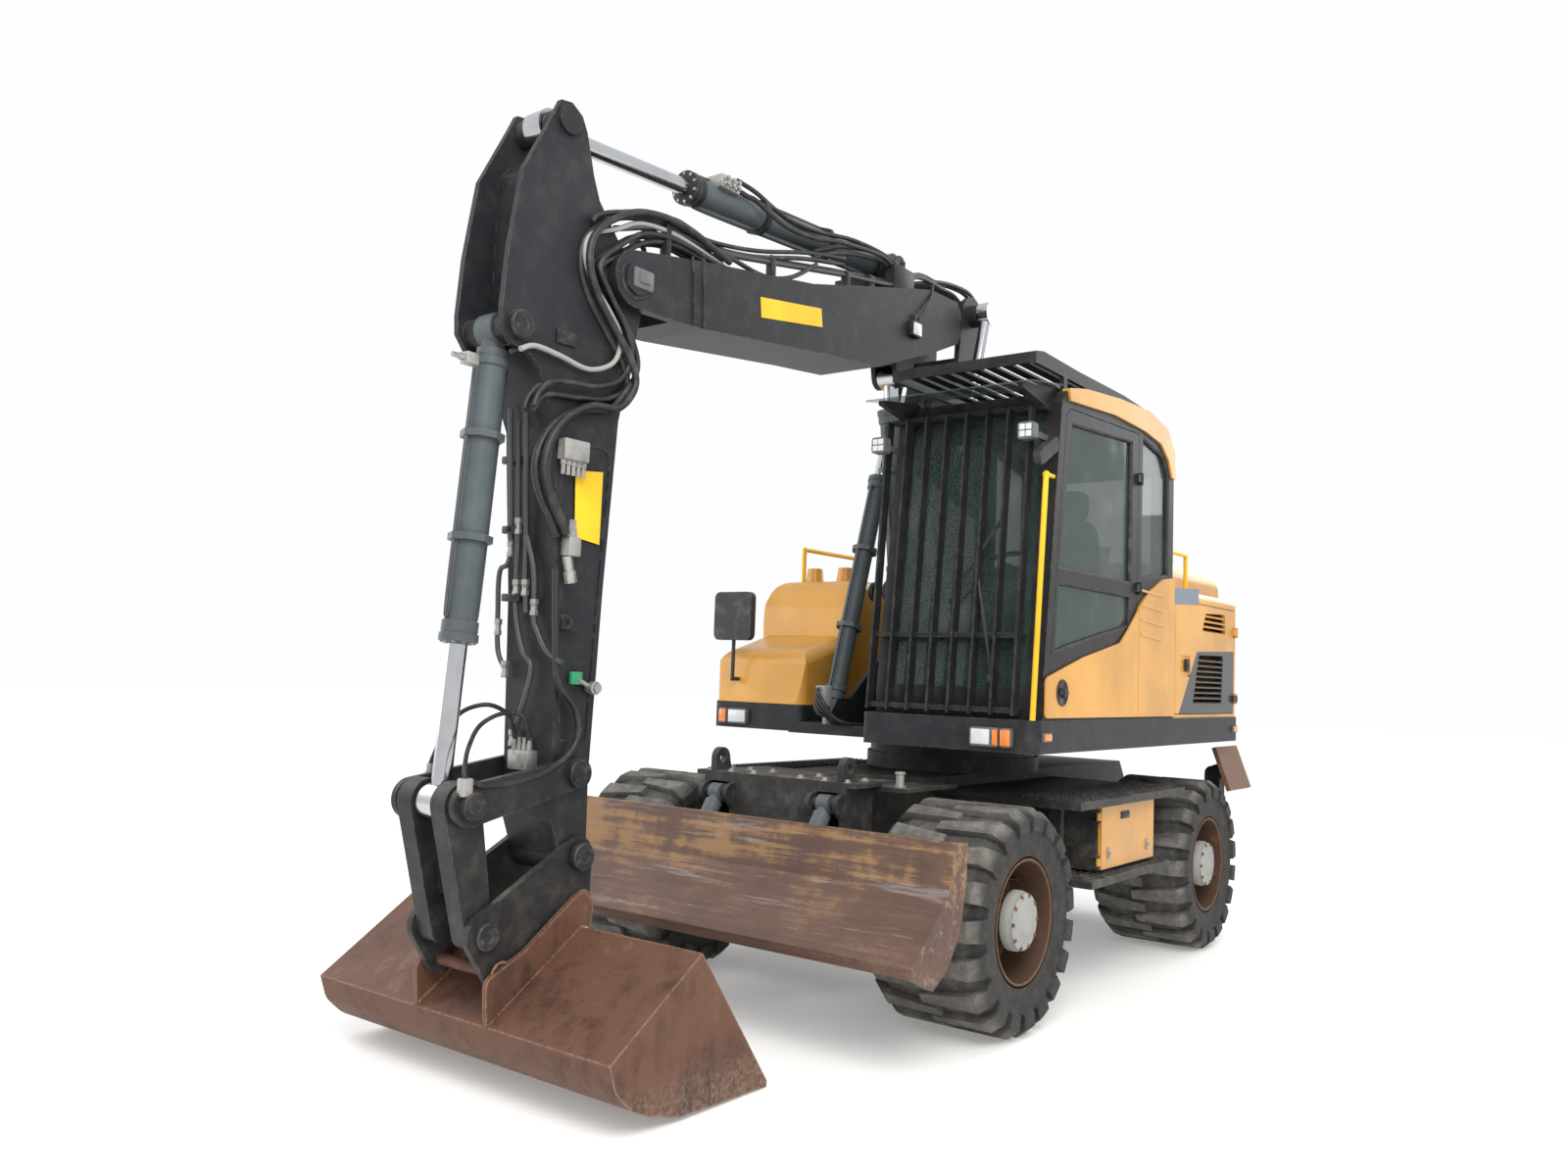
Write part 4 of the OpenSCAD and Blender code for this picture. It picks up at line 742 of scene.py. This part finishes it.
# Body, pin centre [y, z], half the pin's length and the cap's radius
PINS = [
    ("outer_boom", (146, 3933), 200, 68),
    ("outer_boom", (-2884, 3305), 202, 92),
    ("arm", (-3266, 3872), 118, 60),
    ("arm", (-3085, 1197), 214, 58),
    ("idler_links", (-3612, 1098), 218, 54),
    ("bucket", (-3506, 606), 200, 52),
    ("bucket", (-3050, 861), 218, 56),
    ("arm", (-3466, 2962), 172, 56),
    ("outer_boom", (-650, 4045), 128, 55),
    ("upper", (60, 1700), 232, 72),
    ("upper", (-620, 1420), 326, 56),
    ("lower_boom", (-330, 2150), 196, 60)]
for i, (body, pin, half, r) in enumerate(PINS):
    profile = [(0, r), (24, r), (28, r - 4), (28, 0.45 * r), (24, 0.4 * r), (24, 0)]
    caps = []
    for side in (1, -1):
        place = np.array([BOOM_X + side * half, *pin], float)
        way = side * LEFT
        caps.append(turned(place - way * 24, way, profile, 32))
        for angle in (0.5, 0.5 + math.pi):
            around = np.array([0, math.cos(angle), math.sin(angle)])
            caps.append(bolt(place + way * 4 + 0.68 * r * around, way, 7))
    piece("pin_caps_%d" % i, body, "dark", *caps)

# Boom: pipes and hoses along its top, clamps, lamp, valve blocks and blank plate

BOOM_TOP_Y = [-2850, -2468, -1599, -897, -412, -78]
BOOM_TOP_Z = [3440, 3502, 3655, 3824, 3943, 3968]
BOOM_FACE = 120


def boom_top(y):
    """Height of the outer boom's top edge at y."""
    return float(np.interp(y, BOOM_TOP_Y, BOOM_TOP_Z))


def clamp(place, half=22):
    """Saddle from the boom's top up over a pipe."""
    x, y, z = place
    low = min(boom_top(y) - 12, z - 20)
    return joined(block([x - half, y - 16, low], [x + half, y + 16, z + 17], 5),
                  bolt([x, y, z + 17], UP, 6))


def seen_at(x, spots):
    """Places of pixels (u, v) in the upright plane at x."""
    return seen([(u, v, x) for u, v in spots])


PIPE_SPOTS = [(627, 233), (680, 234), (733, 257), (787, 268), (863, 281), (913, 291), (937, 283), (963, 296)]
pipe_a = seen_at(88, PIPE_SPOTS)
pipe_b = seen_at(40, [(u, v - 3) for u, v in PIPE_SPOTS[1:]])
piece("boom_pipes", "outer_boom", "pipe", hose(pipe_a, 13, 12), hose(pipe_b, 11, 12))
piece("boom_clamps", "outer_boom", "dark", *[clamp(pipe_a[i]) for i in (1, 3, 4, 5)],
      *[clamp(pipe_b[i]) for i in (1, 2, 4)])
BOOM_HOSES = [
    [(604, 226), (612, 219), (640, 217), (690, 225), (713, 243), (747, 264), (780, 282), (807, 283),
     (833, 270)],
    [(610, 230), (640, 222), (680, 232), (722, 252), (770, 262), (820, 264), (860, 270)],
    [(830, 262), (858, 258), (897, 266), (915, 284)]]
piece("boom_hoses", "outer_boom", "hose",
      *[hose(seen_at(100 - 22 * i, route), 12) for i, route in enumerate(BOOM_HOSES)],
      *[hose(seen_at(60 - 22 * i, [(u + 2, v - 6) for u, v in route]), 11)
        for i, route in enumerate(BOOM_HOSES[1:])])
valve_hoses = piece("valve_hoses", None, "hose",
                    hose(seen([(747, 190, -20), (762, 200, 0), (773, 206, 20), (800, 230, 50),
                               (830, 243, 70), (857, 247, 80), (897, 260, 84), (913, 273, 88)]), 13),
                    hose(seen([(752, 184, -60), (772, 197, -40), (800, 221, -10), (832, 236, 10),
                               (870, 245, 30), (905, 262, 60), (925, 282, 70)]), 12))
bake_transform(valve_hoses)
piece("lifting_eye", "outer_boom", "dark",
      block([BOOM_X - 14, -2740, 3450], [BOOM_X + 14, -2630, 3510], 5),
      tube([[BOOM_X, -2685 + 42 * math.cos(a), 3530 + 42 * math.sin(a)]
            for a in np.linspace(-1.2, 4.4, 18)], 13, 10))
piece("boom_blank_plate", "outer_boom", "plate",
      prism(0, BOOM_FACE, BOOM_FACE + 3, seen_at(BOOM_FACE + 1, [
          (776, 303), (838, 315), (839, 334), (777, 324)])[:, 1:]))
boss = seen_at(BOOM_FACE, [(654, 286)])[0]
piece("boom_nose_boss", "outer_boom", "lamp", block(boss - [4, 62, 46], boss + [26, 62, 46], 16),
      block(boss + [20, -34, -22], boss + [34, 34, 22], 10))
piece("boom_seams", "outer_boom", "dark",
      tube(seen_at(BOOM_FACE + 2, [(707, 262), (708, 300), (708, 334)]), 7, 6),
      tube(seen_at(BOOM_FACE + 2, [(718, 264), (718, 300), (718, 336)]), 7, 6))
port_block = seen_at(BOOM_X + 40, [(738, 190)])[0]
piece("arm_cylinder_valve", "arm_barrel", "steel",
      block(port_block - [52, 70, 34], port_block + [52, 70, 34], 8),
      *[nut(port_block + [46, dy, dz], LEFT, 15, 14, 11, 30) for dy in (-42, 0, 42) for dz in (-14, 14)])
foot_block = np.array([-285, -812, 1510], float)
FOOT_PORTS_Z = (-42, -14, 14, 42)
piece("foot_valve", "upper", "hub", block(foot_block - [36, 36, 62], foot_block + [36, 36, 62], 8),
      block([-299, -800, 1345], [-271, -740, 1460], 4),
      *[nut(foot_block + [0, -36, dz], FRONT, 15, 12, 11, 30) for dz in FOOT_PORTS_Z])
piece("foot_hoses", "upper", "hose", *[
    hose([foot_block + [0, -60, dz], foot_block + [10 + 4 * i, -95, dz - 12],
          foot_block + [36 + 6 * i, -92, dz - 60], [-225 + 16 * i, -870, 1400],
          [-205 + 30 * i, -820, 1362], [-190 + 40 * i, -700, 1352]], 11)
    for i, dz in enumerate(FOOT_PORTS_Z)])
lamp_at = seen_at(BOOM_FACE - 2, [(931, 337)])[0]
piece("boom_lamp", "outer_boom", "dark", block(lamp_at - [8, 52, 46], lamp_at + [36, 52, 46], 14),
      block(lamp_at - [-10, 12, 0], lamp_at + [22, 12, 96], 4), hose(seen([
          (937, 326, 140), (944, 316, 140), (950, 303, 128), (952, 290, 110)]), 7))
piece("boom_lamp_lens", "outer_boom", "lens", block(lamp_at + [30, -42, -36], lamp_at + [41, 42, 36], 8))

# Hoses that bend over the knee and at the boom's foot, and pipes down the lower boom's back

KNEE_PATH = [(-1000, 3850), (-700, 3915), (-450, 3990), (-230, 4058), (0, 4092), (170, 4088), (290, 4010),
             (334, 3890), (332, 3760), (322, 3600), (326, 3450), (336, 3300)]
FOOT_PATH = [(344, 2160), (372, 2040), (430, 1900), (500, 1700), (540, 1500), (556, 1352)]
HOSE_X = (64, 36, -40, -66, -94, -120)
BACK_PATH = [(338, 3310), (340, 3000), (322, 2400), (341, 2150)]
BACK_CLAMPS = [(331, 3300), (329, 2900), (316, 2450)]
for i, x in enumerate(HOSE_X):
    odd = i % 2
    over = piece("knee_hose_%d" % i, None, "hose", hose([[x, y, z - 5 * odd] for y, z in KNEE_PATH], 12))
    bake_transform(over)
    low = piece("foot_hose_%d" % i, None, "hose", hose([[x, y + 6 * odd, z] for y, z in FOOT_PATH], 13))
    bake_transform(low)
piece("lower_boom_pipes", "lower_boom", "pipe", *[
    tube([[x, y, z] for y, z in BACK_PATH], 10, 8) for x in HOSE_X])
piece("lower_boom_clamps", "lower_boom", "dark",
      *[block([-168, y - 40, z - 20], [88, y + 22, z + 20], 5) for y, z in BACK_CLAMPS],
      block([-168, 280, 2130], [88, 362, 2190], 6))
piece("boom_manifold", "outer_boom", "dark", block([-150, -1030, 3785], [92, -975, 3874], 6),
      block([42, -800, 3850], [112, -590, 4004], 8))

# Hose bundle that bends at the arm's pivot

# Place across, route [y, z] and radius of each hose; a second one runs beside it
BUNDLE = [
    (120, [(-2268, 3562), (-2585, 3631), (-2839, 3614), (-3014, 3535), (-3138, 3419), (-3157, 3288),
           (-3093, 3161), (-2983, 3043), (-2888, 2938), (-2863, 2837), (-2951, 2729), (-3104, 2707),
           (-3235, 2636), (-3317, 2533), (-3346, 2418), (-3308, 2306), (-3245, 2216), (-3215, 2160)], 16),
    (96, [(-2268, 3540), (-2600, 3585), (-2839, 3570), (-2985, 3500), (-3138, 3425), (-3164, 3324),
          (-3108, 3224), (-3005, 3126), (-2941, 3036), (-2974, 2922), (-3113, 2861), (-3276, 2881),
          (-3406, 2890), (-3480, 2860)], 11),
    (104, [(-2300, 3530), (-2600, 3560), (-2820, 3530), (-2960, 3440), (-3086, 3315), (-3021, 3206),
           (-2920, 3084), (-2877, 2966), (-2941, 2853), (-3080, 2794), (-3217, 2781), (-3321, 2762),
           (-3379, 2710), (-3405, 2650)], 12),
    (88, [(-2300, 3520), (-2610, 3545), (-2800, 3500), (-2950, 3400), (-3073, 3297), (-2973, 3177),
          (-2865, 3055), (-2821, 2936), (-2880, 2832), (-2993, 2762), (-3159, 2732), (-3302, 2718),
          (-3357, 2691), (-3392, 2640)], 12)]
for i, (x, route, r) in enumerate(BUNDLE):
    for step, across in enumerate((0, -44)):
        path = [[x + across, y - 10 * step, z - 8 * step] for y, z in route]
        look = "pale_hose" if (i, step) == (1, 0) else "hose"
        bundle = piece("pivot_hose_%d%s" % (i, "ab"[step]), None, look, hose(path, r))
        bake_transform(bundle)

# Arm: front pipes with clamps and couplings, hoses, port blocks, blank plate and brackets

ARM_FACE_Z = [880, 1000, 1924, 2600, 2900, 3600]
ARM_FACE_Y = [-3160, -3180, -3205, -3260, -3400, -3400]
ARM_LEFT = 70


def arm_face(z):
    """Place along the machine of the arm's front face at height z."""
    return float(np.interp(z, ARM_FACE_Z, ARM_FACE_Y))


def before_arm(spots, gap=28):
    """Places of pixels (u, v) at a gap before the arm's front face."""
    return seen_before(arm_face, [(u, v, gap) for u, v in spots])


ARM_PIPES = [
    [(521, 417), (521, 560), (510, 583), (508, 623), (508, 663), (515, 683)],
    [(529, 430), (529, 537), (527, 590), (527, 630), (533, 663), (542, 683), (530, 730), (523, 753)],
    [(537, 420), (537, 543), (536, 590), (537, 625)],
    [(538, 547), (545, 583), (545, 630), (547, 640), (557, 663), (573, 676)]]
routes = [before_arm(route) for route in ARM_PIPES]
piece("arm_pipes", "arm", "pipe", *[hose(route, 11) for route in routes])
FITTINGS = [(508, 640), (527, 600), (536, 600), (545, 620), (521, 560), (529, 537), (515, 683), (523, 753)]
COUPLED_NUTS = [(0, 13), (3, 17), (20, 17), (24, 14), (44, 14), (48, 18), (68, 18), (70, 13)]
piece("arm_fittings", "arm", "steel",
      *[turned(place - [0, 0, 34], UP, COUPLED_NUTS, 6) for place in before_arm(FITTINGS)])
clamps = []
for u, v, width in ((525, 541, 90), (525, 470, 90), (526, 610, 110)):
    place = before_arm([(u, v)], 14)[0]
    face = arm_face(place[2])
    clamps.append(block([place[0] - width / 2, place[1] - 32, place[2] - 16],
                        [place[0] + width / 2, face + 4, place[2] + 16], 5))
    clamps.append(bolt([place[0], place[1] - 32, place[2]], FRONT, 8))
piece("arm_clamps", "arm", "dark", *clamps)
SIDE_X = ARM_LEFT + 34
SIDE_HOSE = [(643, 393), (623, 417), (597, 419), (577, 430), (565, 447), (559, 473), (560, 503), (569, 527),
             (577, 543)]
piece("arm_side_hoses", "arm", "hose", hose(seen_at(SIDE_X, SIDE_HOSE), 14))
valve = seen_at(ARM_LEFT + 32, [(583, 558)])[0]
block_at = seen_at(ARM_LEFT + 30, [(586, 460)])[0]
low_block = before_arm([(532, 775)], 30)[0]
piece("arm_valves", "arm", "steel",
      block(valve - [30, 34, 40], valve + [26, 34, 40], 8),
      turned(valve + [0, 0, 40], UP, [(0, 22), (30, 22), (34, 17), (70, 17)], 6),
      turned(valve - [0, 20, 40], [0, 0.25, -1], [(0, 20), (60, 20), (64, 26), (110, 26), (112, 14)], 6),
      block(block_at - [28, 70, 44], block_at + [22, 70, 44], 8),
      *[nut(block_at + [0, dy, -44], -UP, 12, 20, 9, 60) for dy in (-56, -28, 0, 28, 56)],
      block(low_block - [60, 26, 40], low_block + [60, 36, 40], 8),
      *[nut(low_block + [dx, 0, 40], UP, 12, 24, 9, 50) for dx in (-45, -15, 15, 45)])

# Three hoses from the arm to the idler links' front ends

LINK_PORT = np.array([116, -3648, 1172], float)
FAR_PORT = np.array([-278, -3515, 1182], float)
LINK_HOSES = [
    (14, [*seen_at(SIDE_X, [(567, 580), (567, 663), (570, 697), (587, 723), (590, 750), (577, 773),
                            (547, 792), (500, 802)]),
          LINK_PORT + [0, 12, 20]]),
    (9, [low_block + [45, 0, 82],
         *seen([(533, 731, -3262), (513, 728, -3350), (490, 740, -3470), (478, 763, -3570),
                (474, 785, -3640)], 1),
         LINK_PORT + [0, 0, 26]]),
    (9, [low_block + [-45, 0, 82],
         *seen([(521, 734, -3250), (512, 724, -3300), (495, 719, -3370), (472, 726, -3430),
                (455, 745, -3475), (442, 772, -3505)], 1),
         FAR_PORT + [0, 0, 30]])]
for i, (r, path) in enumerate(LINK_HOSES):
    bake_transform(piece("link_hose_%d" % i, None, "hose", hose(path, r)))
piece("link_ports", "idler_links", "steel",
      block(LINK_PORT - [20, 24, 36], LINK_PORT + [20, 24, 32], 6),
      nut(FAR_PORT - [0, 0, 10], UP, 18, 24, 13, 54))

# The arm's coupling on its tag, blank plate and brackets

tag = seen_at(ARM_LEFT + 12, [(588, 692)])[0]
coupling = seen_at(ARM_LEFT + 16, [(603, 702)])[0]
piece("arm_coupling", "arm", "steel", turned(coupling - [16, 0, 0], LEFT, [
    (0, 22), (20, 22), (22, 28), (46, 28), (48, 20), (60, 20), (60, 0)], 16), tube([tag, coupling], 10))
piece("arm_tag", "arm", "tag", block(tag - [12, 30, 26], tag + [6, 30, 26], 3))
piece("arm_blank_plate", "arm", "plate", prism(0, ARM_LEFT + 0.3, ARM_LEFT + 3, seen_at(ARM_LEFT, [
    (587, 480), (615, 482), (611, 556), (586, 548)])[:, 1:]))
bracket = seen_at(ARM_LEFT, [(575, 635)])[0]
plate_at = seen_at(ARM_LEFT, [(577, 345)])[0]
RAISED_HOLE = [(0, 17), (6, 17), (6, 9), (1, 9)]
piece("arm_brackets", "arm", "dark",
      block(bracket - [2, 40, 30], bracket + [34, 40, 30], 6), bolt(bracket + [34, 0, 0], LEFT, 9),
      block(plate_at - [2, 52, 30], plate_at + [12, 52, 30], 5),
      *[turned(plate_at + [8, dy, 0], LEFT, RAISED_HOLE, 20) for dy in (-26, 26)])
fit_top = seen_at(BOOM_X + 62, [(480, 366)])[0]
piece("bucket_barrel_fittings", "bucket_barrel", "steel",
      block(fit_top - [30, 30, 24], fit_top + [20, 30, 24], 6),
      nut(fit_top + [0, -26, 0], FRONT, 14, 30, 10, 60))

# Bucket: weld seams, rings round its pin eyes and worn lip

EYE_RING_R = 44
EYES = [(-3040, 680), (-3440, 460)]
BACK_SEAM = [(-3049, 594), (-3200, 500), (-3350, 398), (-3505, 292)]
LIP = [(-2633, 5), (-2700, 6), (-2790, 8), (-2800, 24), (-2640, 27)]


def eye_ring(x, eye):
    """Weld bead round a pin eye [y, z] on the plate at x."""
    angles = np.linspace(0, 2 * math.pi, 25)
    spots = [[x, eye[0] + EYE_RING_R * math.cos(a), eye[1] + EYE_RING_R * math.sin(a)] for a in angles]
    return tube(spots, 6, 6)


piece("bucket_seams", "bucket", "bucket",
      *[eye_ring(BOOM_X + side * 205, eye) for side in (-1, 1) for eye in EYES],
      *[tube(smooth_path([[BOOM_X + side * 199, y, z] for y, z in BACK_SEAM], 3), 8, 6) for side in (1, -1)])
piece("bucket_edge", "bucket", "worn", prism(0, -948, 788, LIP))

# Steps: saw-toothed treads, and the toolbox's handle and latches

TOOTH = 30.0
STRIP_GAP = 42.0
BAR_GAP = 120.0


def tread(side, x_low, x_high, y_low, y_high, z):
    """Upright strips along the tread, each with teeth along its top, and flat bars across them."""
    teeth = []
    for y in np.arange(y_low, y_high - TOOTH + 1, TOOTH):
        teeth += [(y, z), (y + 6, z + 13), (y + 20, z + 13), (y + 26, z)]
    outline = [(y_low, z - 14)] + teeth + [(y_high, z), (y_high, z - 14)]
    strips = [prism(0, side * x, side * (x + 5), outline) for x in np.arange(x_low, x_high, STRIP_GAP)]
    bars = [block([side * x_low, y - 3, z - 10], [side * x_high, y + 3, z + 3], 1)
            for y in np.arange(y_low + BAR_GAP / 2, y_high, BAR_GAP)]
    return joined(*strips, *bars)


for side, name in ((1, "left"), (-1, "right")):
    piece("tread_upper_" + name, "chassis", "chassis", tread(side, 905, 1240, -680, 840, 1030))
    piece("tread_lower_" + name, "chassis", "chassis", tread(side, 1000, 1240, -530, 590, 620))
piece("toolbox_handle", "toolbox_door", "black", block([1188, -30, 900], [1198, 90, 940], 4),
      block([1192, -20, 908], [1200, 80, 932], 3))
piece("toolbox_latches", "toolbox_door", "steel", *[
    joined(block([1190, y - 14, 700], [1200, y + 14, 760], 3), bolt([1199, y, 730], LEFT, 7))
    for y in (-200, 360)])

# Chassis front: bolts on the shelf and the front axle's breather

SHELF_BOLTS_X = (-430, -300, -150, 150, 300, 430)
BREATHER = [(0, 30), (8, 30), (8, 20), (60, 20), (64, 26), (76, 26), (80, 0)]
piece("shelf_bolts", "chassis", "steel",
      *[bolt([x, y, 1112], UP, 13) for x in SHELF_BOLTS_X for y in (-1600, -1440)])
piece("axle_breather", "chassis", "steel", turned([565, -1330, 1088], UP, BREATHER, 20))

# Outriggers: the cylinders' collars

COLLAR = [(0, 46), (4, 56), (40, 56), (44, 46), (60, 40), (60, 26)]
for side, name in ((1, "left"), (-1, "right")):
    top_pin = np.array([side * 455, 1990, 790.0])
    foot_pin = np.array([side * 950, 1990, 570.0])
    way = unit(foot_pin - top_pin)
    piece("outrigger_collar_" + name, "outrigger_barrel_" + name, "ram",
          turned(top_pin + way * 190, way, COLLAR, 28))

# Cab: seals, handles, ribs, latch, wiper, lamps' lenses and seat

CAB_LEFT = 1235
DOOR_WINDOWS = [
    [(-40, 2200), (-40, 3000), (-860, 2950), (-990, 2200)],
    [(-40, 1960), (-40, 2130), (-985, 2130), (-1020, 1780), (-500, 1880)]]
LEFT_WINDOW = [(540, 2290), (540, 2900), (440, 3000), (110, 3050), (110, 2240)]


def seal(x, outline, r=11):
    """Rubber bead round an opening [y, z], with its corners kept."""
    corners = np.array(outline, float)
    rim = []
    for here, after in zip(corners, np.roll(corners, -1, axis=0)):
        for share in (0.04, 0.5, 0.96):
            rim.append([x, *(here + (after - here) * share)])
    rim.append(rim[0])
    return tube(smooth_path(rim, 3), r, 8)


piece("door_seals", "cab_door", "plastic", *[seal(CAB_LEFT - 12, w) for w in DOOR_WINDOWS])
piece("window_seals", "upper", "plastic", seal(CAB_LEFT - 12, LEFT_WINDOW))
handle = seen_at(CAB_LEFT + 15, [(1084, 707)])[0]
piece("door_handle", "cab_door", "black",
      turned(handle - [2, 0, 0], LEFT, [(0, 66), (5, 66), (6, 60), (2, 54), (2, 0)], 40),
      turned(handle, LEFT, [(0, 22), (16, 22), (20, 17), (20, 0)], 24),
      block(handle + [4, -50, -11], handle + [15, 50, 11], 5))
piece("rear_panel_ribs", "upper", "yellow", *[
    tube(seen_at(CAB_LEFT + 14, [(1164, 602 + 15 * i), (1186, 609 + 15 * i)]), 7, 8) for i in range(4)])
latch = seen_at(CAB_LEFT + 2, [(1211, 679)])[0]
grey_plate = seen_at(CAB_LEFT + 2, [(1198, 600), (1223, 601), (1223, 617), (1198, 616)])
piece("side_blank_plate", "upper", "slate", prism(0, CAB_LEFT + 0.3, CAB_LEFT + 4, grey_plate[:, 1:]))
piece("service_latch", "service_door", "black", block(latch - [4, 34, 40], latch + [9, 34, 40], 6),
      block(latch + [6, -20, -12], latch + [14, 20, 12], 4))
piece("wiper", "upper", "plastic",
      hose([[980, -1182, 1640], [940, -1188, 1900], [860, -1160, 2250]], 8, 8),
      hose([[700, -1118, 2020], [860, -1140, 2250], [1010, -1105, 2480]], 9, 6),
      turned([980, -1165, 1640], FRONT, [(0, 26), (20, 26), (26, 18), (26, 0)], 20))
# Low and high end across, and front face, of each headlamp
HEADLAMPS = [(915, 1014, -1264), (-1080, -948, -714)]
WORK_LAMPS_X = (275, 1120)
LENS_STEP = 34
piece("headlamp_lenses", "upper", "lens",
      *[block([low, y, 1324], [high, y + 11, 1399], 9) for low, high, y in HEADLAMPS])
piece("indicators", "upper", "orange", block([1030, -1264, 1322], [1056, -1253, 1400], 8),
      block([1072, -1264, 1322], [1124, -1253, 1400], 10),
      block([-1156, -714, 1322], [-1102, -703, 1400], 10),
      *[block([1255, y + 8, 1354], [1263, y + 82, 1386], 5) for y in (-1168, 1750)])
lens_corners = [np.array([x + 10 + LENS_STEP * i, -1247, 2818 + LENS_STEP * j])
                for x in WORK_LAMPS_X for i in (0, 1) for j in (0, 1)]
piece("work_lamp_lenses", "upper", "lens",
      *[block(corner, corner + [30, 9, 30], 5) for corner in lens_corners])


def cushion(centre, half, power=0.45):
    """Superellipsoid: (a c(t) c(s), b c(t) s'(s), h s'(t)), c and s' the cosine and sine to a power."""
    tilt = np.linspace(-math.pi / 2, math.pi / 2, 17)
    round_ = np.linspace(0, 2 * math.pi, 33)[:-1]

    def bent(value):
        return np.sign(value) * np.abs(value) ** power

    rows = []
    for t in tilt:
        flat = bent(math.cos(t))
        rows.append(np.array(centre) + np.array(half) * np.column_stack([
            flat * bent(np.cos(round_)), flat * bent(np.sin(round_)), np.full(32, bent(math.sin(t)))]))
    return surface(rows)


seat = piece("seat_cushions", "upper", "cloth",
             cushion([760, -160, 1870], [225, 250, 70]), cushion([760, 130, 2260], [205, 72, 340]),
             cushion([760, 150, 2680], [130, 52, 90]), angle=60)
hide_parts("cab_seat")
piece("seat_base", "upper", "plastic",
      block([580, -360, 1500], [940, 100, 1800], 20), block([600, 150, 1790], [920, 200, 2200], 12))

# Upper structure: black strips of painted shade for the engine hood's slots, exhaust, hood latches, black
# strips of painted shade for the right panel's slots, and tail lamps

SLOT_ROWS_Y = [1010 + 62 * i for i in range(9)]
# Black strips over the hood's slots: painted shade that stands for the dark openings
piece("hood_slot_shade_strips", "engine_hood", "plastic",
      *[block([-520, y, 2420], [-60, y + 30, 2430 + (y - 960) / 83], 2) for y in SLOT_ROWS_Y])
piece("exhaust", "engine_hood", "rim", turned([420, 1500, 2400], UP, [
    (0, 58), (190, 58), (190, 50), (60, 48), (60, 0)], 28))
piece("hood_latches", "engine_hood", "steel",
      *[block([x - 30, 1960, 2262], [x + 30, 1980, 2300], 5) for x in (-400, 700)])
# Right panel: a black strip, and fourteen black strips of painted shade that stand for its slots
piece("right_panel_strip_and_slot_shade", "upper", "black",
      block([-1243, -200, 1560], [-1234, 40, 1600], 4),
      *[block([-1240, 760 + 60 * i, 1600], [-1234, 790 + 60 * i, 2050], 3) for i in range(14)])
TAIL_LAMP = [(830, 2060), (970, 1990), (970, 2026), (830, 2094)]
piece("tail_lamps", "upper", "orange", mirrored(prism(2, 1560, 1610, TAIL_LAMP)))

# Camera, light and floor in the scene

make_camera()
TARGET = [0, -700, 1400]
make_light("key", [5200, -6500, 7200], TARGET, 5.0, 600, (1.0, 0.98, 0.95))
make_light("fill", [-7500, -4500, 4200], TARGET, 6.0, 250, (0.93, 0.96, 1.0))
make_light("back", [1500, 8000, 6500], TARGET, 6.0, 300, (0.97, 0.98, 1.0))
world = bpy.data.worlds.new("sky")
world.use_nodes = True
bpy.context.scene.world = world
sky = world.node_tree.nodes["Background"]
sky.inputs["Color"].default_value = (0.98, 0.99, 1.0, 1.0)
sky.inputs["Strength"].default_value = 1.0
floor_mesh = bpy.data.meshes.new("floor")
floor_mesh.from_pydata([(-60, -60, 0), (60, -60, 0), (60, 60, 0), (-60, 60, 0)], [], [(0, 1, 2, 3)])
floor = bpy.data.objects.new("floor", floor_mesh)
bpy.context.collection.objects.link(floor)
floor.data.materials.append(floor_finish())
bpy.context.scene.view_settings.view_transform = "Standard"
